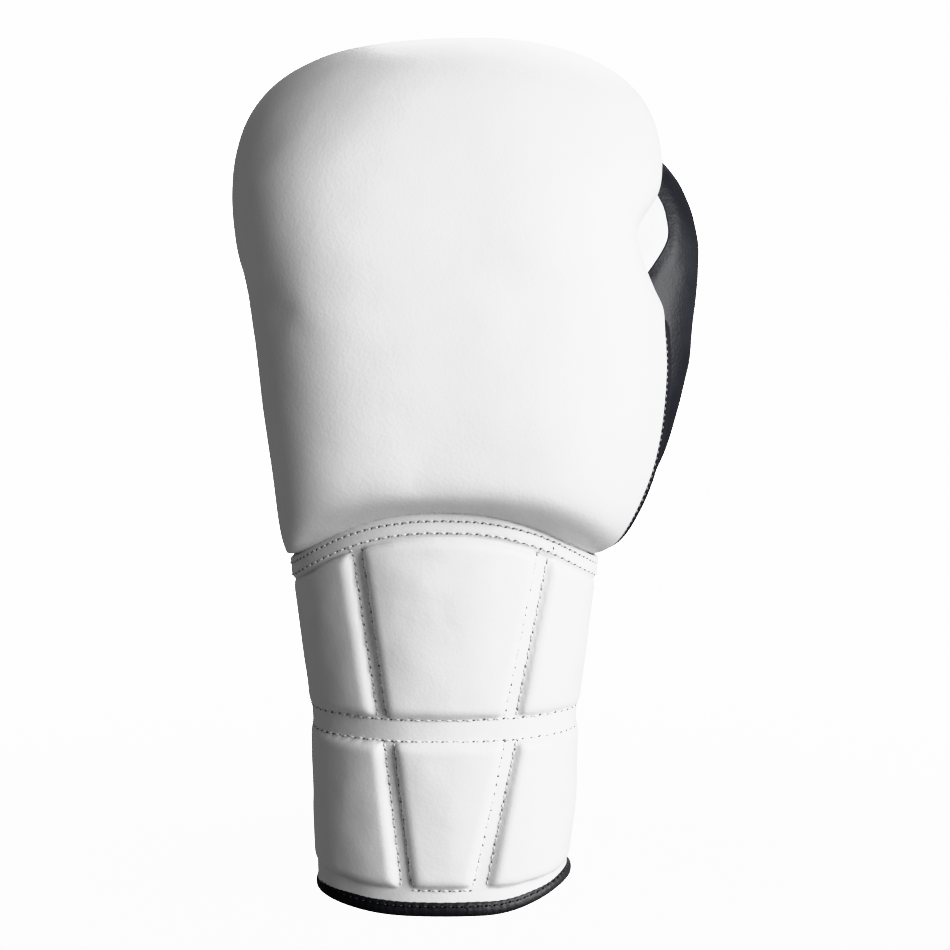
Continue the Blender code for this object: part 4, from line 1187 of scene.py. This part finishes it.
hand_rows, hand_columns = np.linspace(0.005, 0.985, 80), np.linspace(0, 360, 64, endpoint=False)
hand_cloth = shell("hand_lining_cloth", hand_surface, hand_rows, hand_columns, LINING, 0.9, closed=True)
piece(hand_cloth, "glove", "lining", "hand_lining", "thumb_lining", "grip_bar")
cuff_cloth = shell("cuff_lining_cloth", cuff_wall, np.linspace(0, 1, 60), np.linspace(0, 1, 150), LINING, 0.9)
piece(cuff_cloth, "glove", "lining", "cuff_lining", "cuff_backing")
tongue_rows, tongue_columns = np.linspace(6, 131, 60), np.linspace(150, 210, 40)
tongue = shell("wrist_tongue_cloth", tongue_surface, tongue_rows, tongue_columns, ELASTIC, 1.2)
piece(tongue, "glove", "webbing", "wrist_tongue")


# ---------------------------------------------------------------- the closure strap
# heights of the strap's edges, heights over the backing, and the angles where its pieces begin and end
STRAP_LOW, STRAP_HIGH = 38, 84
PATCH_LOW, PATCH_HIGH = 42, 80
BACKING_GAP, UNDER, OVER = 4.8, 6.9, 8.9
ANCHOR_START, STRAP_ROOT, STRAP_FOLD, STRAP_END = 122, 136, 181, 232
PATCH_START, SEAM_GAP, TAB_CORNER, SOFT_EDGE = STRAP_FOLD + 9, 0.3, 7.0, 1.2


def on_strap(angle, out):
    x, y, _ = cuff_surface(np.array(angle), np.array(float(STRAP_HIGH)), out)
    return x, y


def strap_slab(name, first, last, under, over, low, high, material, seed, corner=0.0):
    """A soft-edged slab round the palm side of the cuff, with rounded far corners if corner is given."""
    angles, up = np.linspace(first, last, 56), np.linspace(0, 1, 30)
    run = (angles - first) * MM_PER_DEGREE
    total = run[-1]
    top_points, base_points = [], []
    for u in up:
        for a, r in zip(angles, run):
            cut = 0.0
            if corner and total - r < corner:
                cut = corner - math.sqrt(max(corner**2 - (corner - (total - r)) ** 2, 0))
            z = low + cut + (high - low - 2 * cut) * u
            edge = min(u * (high - low), (1 - u) * (high - low), r + SOFT_EDGE, total - r)
            soft = 0.55 * (1 - math.sqrt(1 - (1 - min(max(edge / SOFT_EDGE, 0), 1)) ** 2))
            top_points.append((*on_strap(a, over - soft), z))
            base_points.append((*on_strap(a, under + soft * 0.6), z))
    rows, cols = len(up), len(angles)
    faces = grid_faces(rows, cols)
    offset = rows * cols
    faces += [tuple(offset + i for i in f[::-1]) for f in grid_faces(rows, cols)]
    rim = (
        [j for j in range(cols)]
        + [i * cols + cols - 1 for i in range(1, rows)]
        + [(rows - 1) * cols + j for j in range(cols - 2, -1, -1)]
        + [i * cols for i in range(rows - 2, 0, -1)]
    )
    faces += [(offset + a, offset + b, b, a) for a, b in zip(rim, rim[1:] + rim[:1])]
    obj = new_object(name, top_points + base_points, faces, material)
    face_outwards(obj)
    undulate(obj, 12, 0.15, seed)
    return obj


ANCHOR_SPAN = (ANCHOR_START, STRAP_ROOT - SEAM_GAP, BACKING_GAP, OVER, STRAP_LOW, STRAP_HIGH)
ELASTIC_SPAN = (STRAP_ROOT, STRAP_FOLD - SEAM_GAP, UNDER, OVER - 0.3, STRAP_LOW + 1, STRAP_HIGH - 1)
TAB_SPAN = (STRAP_FOLD, STRAP_END, UNDER, OVER, STRAP_LOW, STRAP_HIGH)
HOOK_SPAN = (PATCH_START, STRAP_END - 4, UNDER - 1.25, UNDER - 0.3, PATCH_LOW, PATCH_HIGH)
LOOP_SPAN = (PATCH_START, STRAP_END - 2, BACKING_GAP + 0.1, UNDER - 1.6, PATCH_LOW, PATCH_HIGH)
anchor = strap_slab("strap_anchor_leather", *ANCHOR_SPAN, WHITE, 21)
piece(anchor, "glove", "white_leather", "strap_anchor")
elastic = strap_slab("strap_elastic_web", *ELASTIC_SPAN, ELASTIC, 22)
piece(elastic, "elastic", "webbing", "strap_elastic")
tab = strap_slab("strap_tab_leather", *TAB_SPAN, WHITE, 23, TAB_CORNER)
piece(tab, "tab", "white_leather", "strap_tab")
hook = strap_slab("hook_patch_tape", *HOOK_SPAN, HOOKS, 24)
piece(hook, "tab", "webbing", "hook_patch")
loop = strap_slab("loop_patch_tape", *LOOP_SPAN, LINING, 25)
piece(loop, "glove", "webbing", "loop_patch")


def strap_frame(first, last, inset):
    """A rectangle of stitches inside a strap's edge."""
    low, high = STRAP_LOW + inset, STRAP_HIGH - inset
    corners = [(first, low), (last, low), (last, high), (first, high), (first, low)]
    line = []
    for (a, z), (b, w) in zip(corners, corners[1:]):
        line += [(*on_strap(a + (b - a) * t, OVER), z + (w - z) * t) for t in np.linspace(0, 1, 24)]
    return line


stitches("stitches_tab", [strap_frame(STRAP_FOLD + 3, STRAP_END - 5, 3.5)], [tab], 3.3, "tab")
stitches("stitches_anchor", [strap_frame(ANCHOR_START + 2.5, STRAP_ROOT - 3, 2.5)], [anchor], 3.3)

# ---------------------------------------------------------------- seams of the mitt and thumb
seam_shares = np.linspace(0.03, 0.335, 240)
side_row = mitt_surface(seam_shares, side_seam(seam_shares) + 0.7)
outer_row = mitt_surface(np.linspace(0.01, 0.86, 260), np.full(260, BACK_SEAM_OUTER + 2.4))
stitches(
    "stitches_thumb_side",
    [side_row],
    [mitt_back, mitt_palm],
    2.3,
    length=0.6,
    radius=0.22,
    thread=SEAM_THREAD,
    hole_shadow_material=DARK_HOLE_SHADOW,
)
stitches("stitches_little_side", [outer_row], [mitt_back], 3.0)


# ---------------------------------------------------------------- eyelets, which are the CAD's own
def enamel(name):
    material, tree, surface = start_material(name)
    place = node(tree, "ShaderNodeTexCoord").outputs["Object"]
    noise_colour(tree, surface, 900.0, 3.0, ((0.4, grey(0.02)), (0.75, grey(0.07, 0.005))), place)
    surface.inputs["Roughness"].default_value = 0.3
    surface.inputs["Metallic"].default_value = 0.6
    return material


EYELET = enamel("eyelet_enamel")
for name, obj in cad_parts.items():
    if name.startswith("eyelet"):
        for slot in obj.material_slots:
            slot.material = EYELET

# ---------------------------------------------------------------- floor, light and camera
scene = bpy.context.scene
scene.view_settings.view_transform = "Khronos PBR Neutral"

FLOOR_RADIUS, FLOOR_DROP = 12.0, 0.0004
# the backdrop, and the floor away from the glove, are as bright as this; the floor's glow is dimmer near its
# foot, a painted shadow round the glove
BACKDROP, PAINTED_SHADOW_GLOW, PAINTED_SHADOW_RADIUS, GLOW_RADIUS = 6.0, 3.0, 0.12, 0.7
AMBIENT = 0.19


def paper(name):
    """The floor's material: pale and faintly mottled, and glowing like the backdrop, with a painted shadow
    where its glow dims near the glove.
    """
    material, tree, surface = start_material(name)
    noise_colour(tree, surface, 6.0, 3.0, ((0.3, grey(0.40)), (0.7, grey(0.44))))
    surface.inputs["Roughness"].default_value = 0.9
    surface.inputs["Specular IOR Level"].default_value = 0.0
    surface.inputs["Emission Color"].default_value = (1, 1, 1, 1)
    # the glow is dimmest near the middle and rises outwards: a painted contact shadow round the glove's foot
    reach = node(tree, "ShaderNodeVectorMath", operation="LENGTH")
    glow = node(
        tree,
        "ShaderNodeMapRange",
        in_From_Min=PAINTED_SHADOW_RADIUS,
        in_From_Max=GLOW_RADIUS,
        in_To_Min=PAINTED_SHADOW_GLOW,
        in_To_Max=BACKDROP,
    )
    join(
        tree,
        (node(tree, "ShaderNodeTexCoord").outputs["Object"], reach.inputs[0]),
        (reach.outputs["Value"], glow.inputs["Value"]),
        (glow.outputs["Result"], surface.inputs["Emission Strength"]),
    )
    material.cycles.emission_sampling = "NONE"
    return material


bpy.ops.mesh.primitive_circle_add(vertices=96, radius=FLOOR_RADIUS, fill_type="NGON")
floor = bpy.context.object
floor.location.z = -FLOOR_DROP
floor.name = "floor"
floor.data.materials.append(paper("floor_paper"))
# the floor doesn't throw its light up at the glove
floor.visible_diffuse = False
floor.visible_glossy = False


def make_world():
    """A bright backdrop for the camera, and a dim even light for everything else."""
    world = bpy.data.worlds.new("studio")
    world.use_nodes = True
    tree = world.node_tree
    dim = tree.nodes["Background"]
    dim.inputs["Color"].default_value = (1, 1, 1, 1)
    dim.inputs["Strength"].default_value = AMBIENT
    backdrop = node(tree, "ShaderNodeBackground", in_Color=(1, 1, 1, 1), in_Strength=BACKDROP)
    choice = node(tree, "ShaderNodeMixShader")
    join(
        tree,
        (node(tree, "ShaderNodeLightPath").outputs["Is Camera Ray"], choice.inputs[0]),
        (dim.outputs[0], choice.inputs[1]),
        (backdrop.outputs[0], choice.inputs[2]),
        (choice.outputs[0], tree.nodes["World Output"].inputs["Surface"]),
    )
    return world


scene.world = make_world()


def aimed(name, data, place, aim):
    """An object of data at place, turned towards aim."""
    obj = bpy.data.objects.new(name, data)
    obj.location = place
    obj.rotation_euler = (Vector(aim) - Vector(place)).to_track_quat("-Z", "Y").to_euler()
    scene.collection.objects.link(obj)
    return obj


def soft_light(name, place, aim, size, watts):
    data = bpy.data.lights.new(name, "AREA")
    data.shape = "RECTANGLE"
    data.size = data.size_y = size
    data.energy = watts
    aimed(name, data, place, aim).visible_camera = False


soft_light("key", (1.34, -0.93, 0.54), aim=(0.0, 0.0, 0.17), size=1.4, watts=68.0)
soft_light("back", (0.15, 1.3, 1.2), aim=(0.0, 0.0, 0.18), size=0.8, watts=10.0)

CAMERA_DISTANCE, CAMERA_TILT, CAMERA_LENS = 0.80, math.radians(5.0), 78.8
AIM = Vector((0.0013, -0.0038, 0.1626))
camera_data = bpy.data.cameras.new("camera")
camera_data.lens = CAMERA_LENS
camera_data.sensor_width = 36.0
camera_data.clip_start = 0.01
camera_place = AIM + CAMERA_DISTANCE * Vector((0, -math.cos(CAMERA_TILT), math.sin(CAMERA_TILT)))
scene.camera = aimed("camera", camera_data, camera_place, AIM)
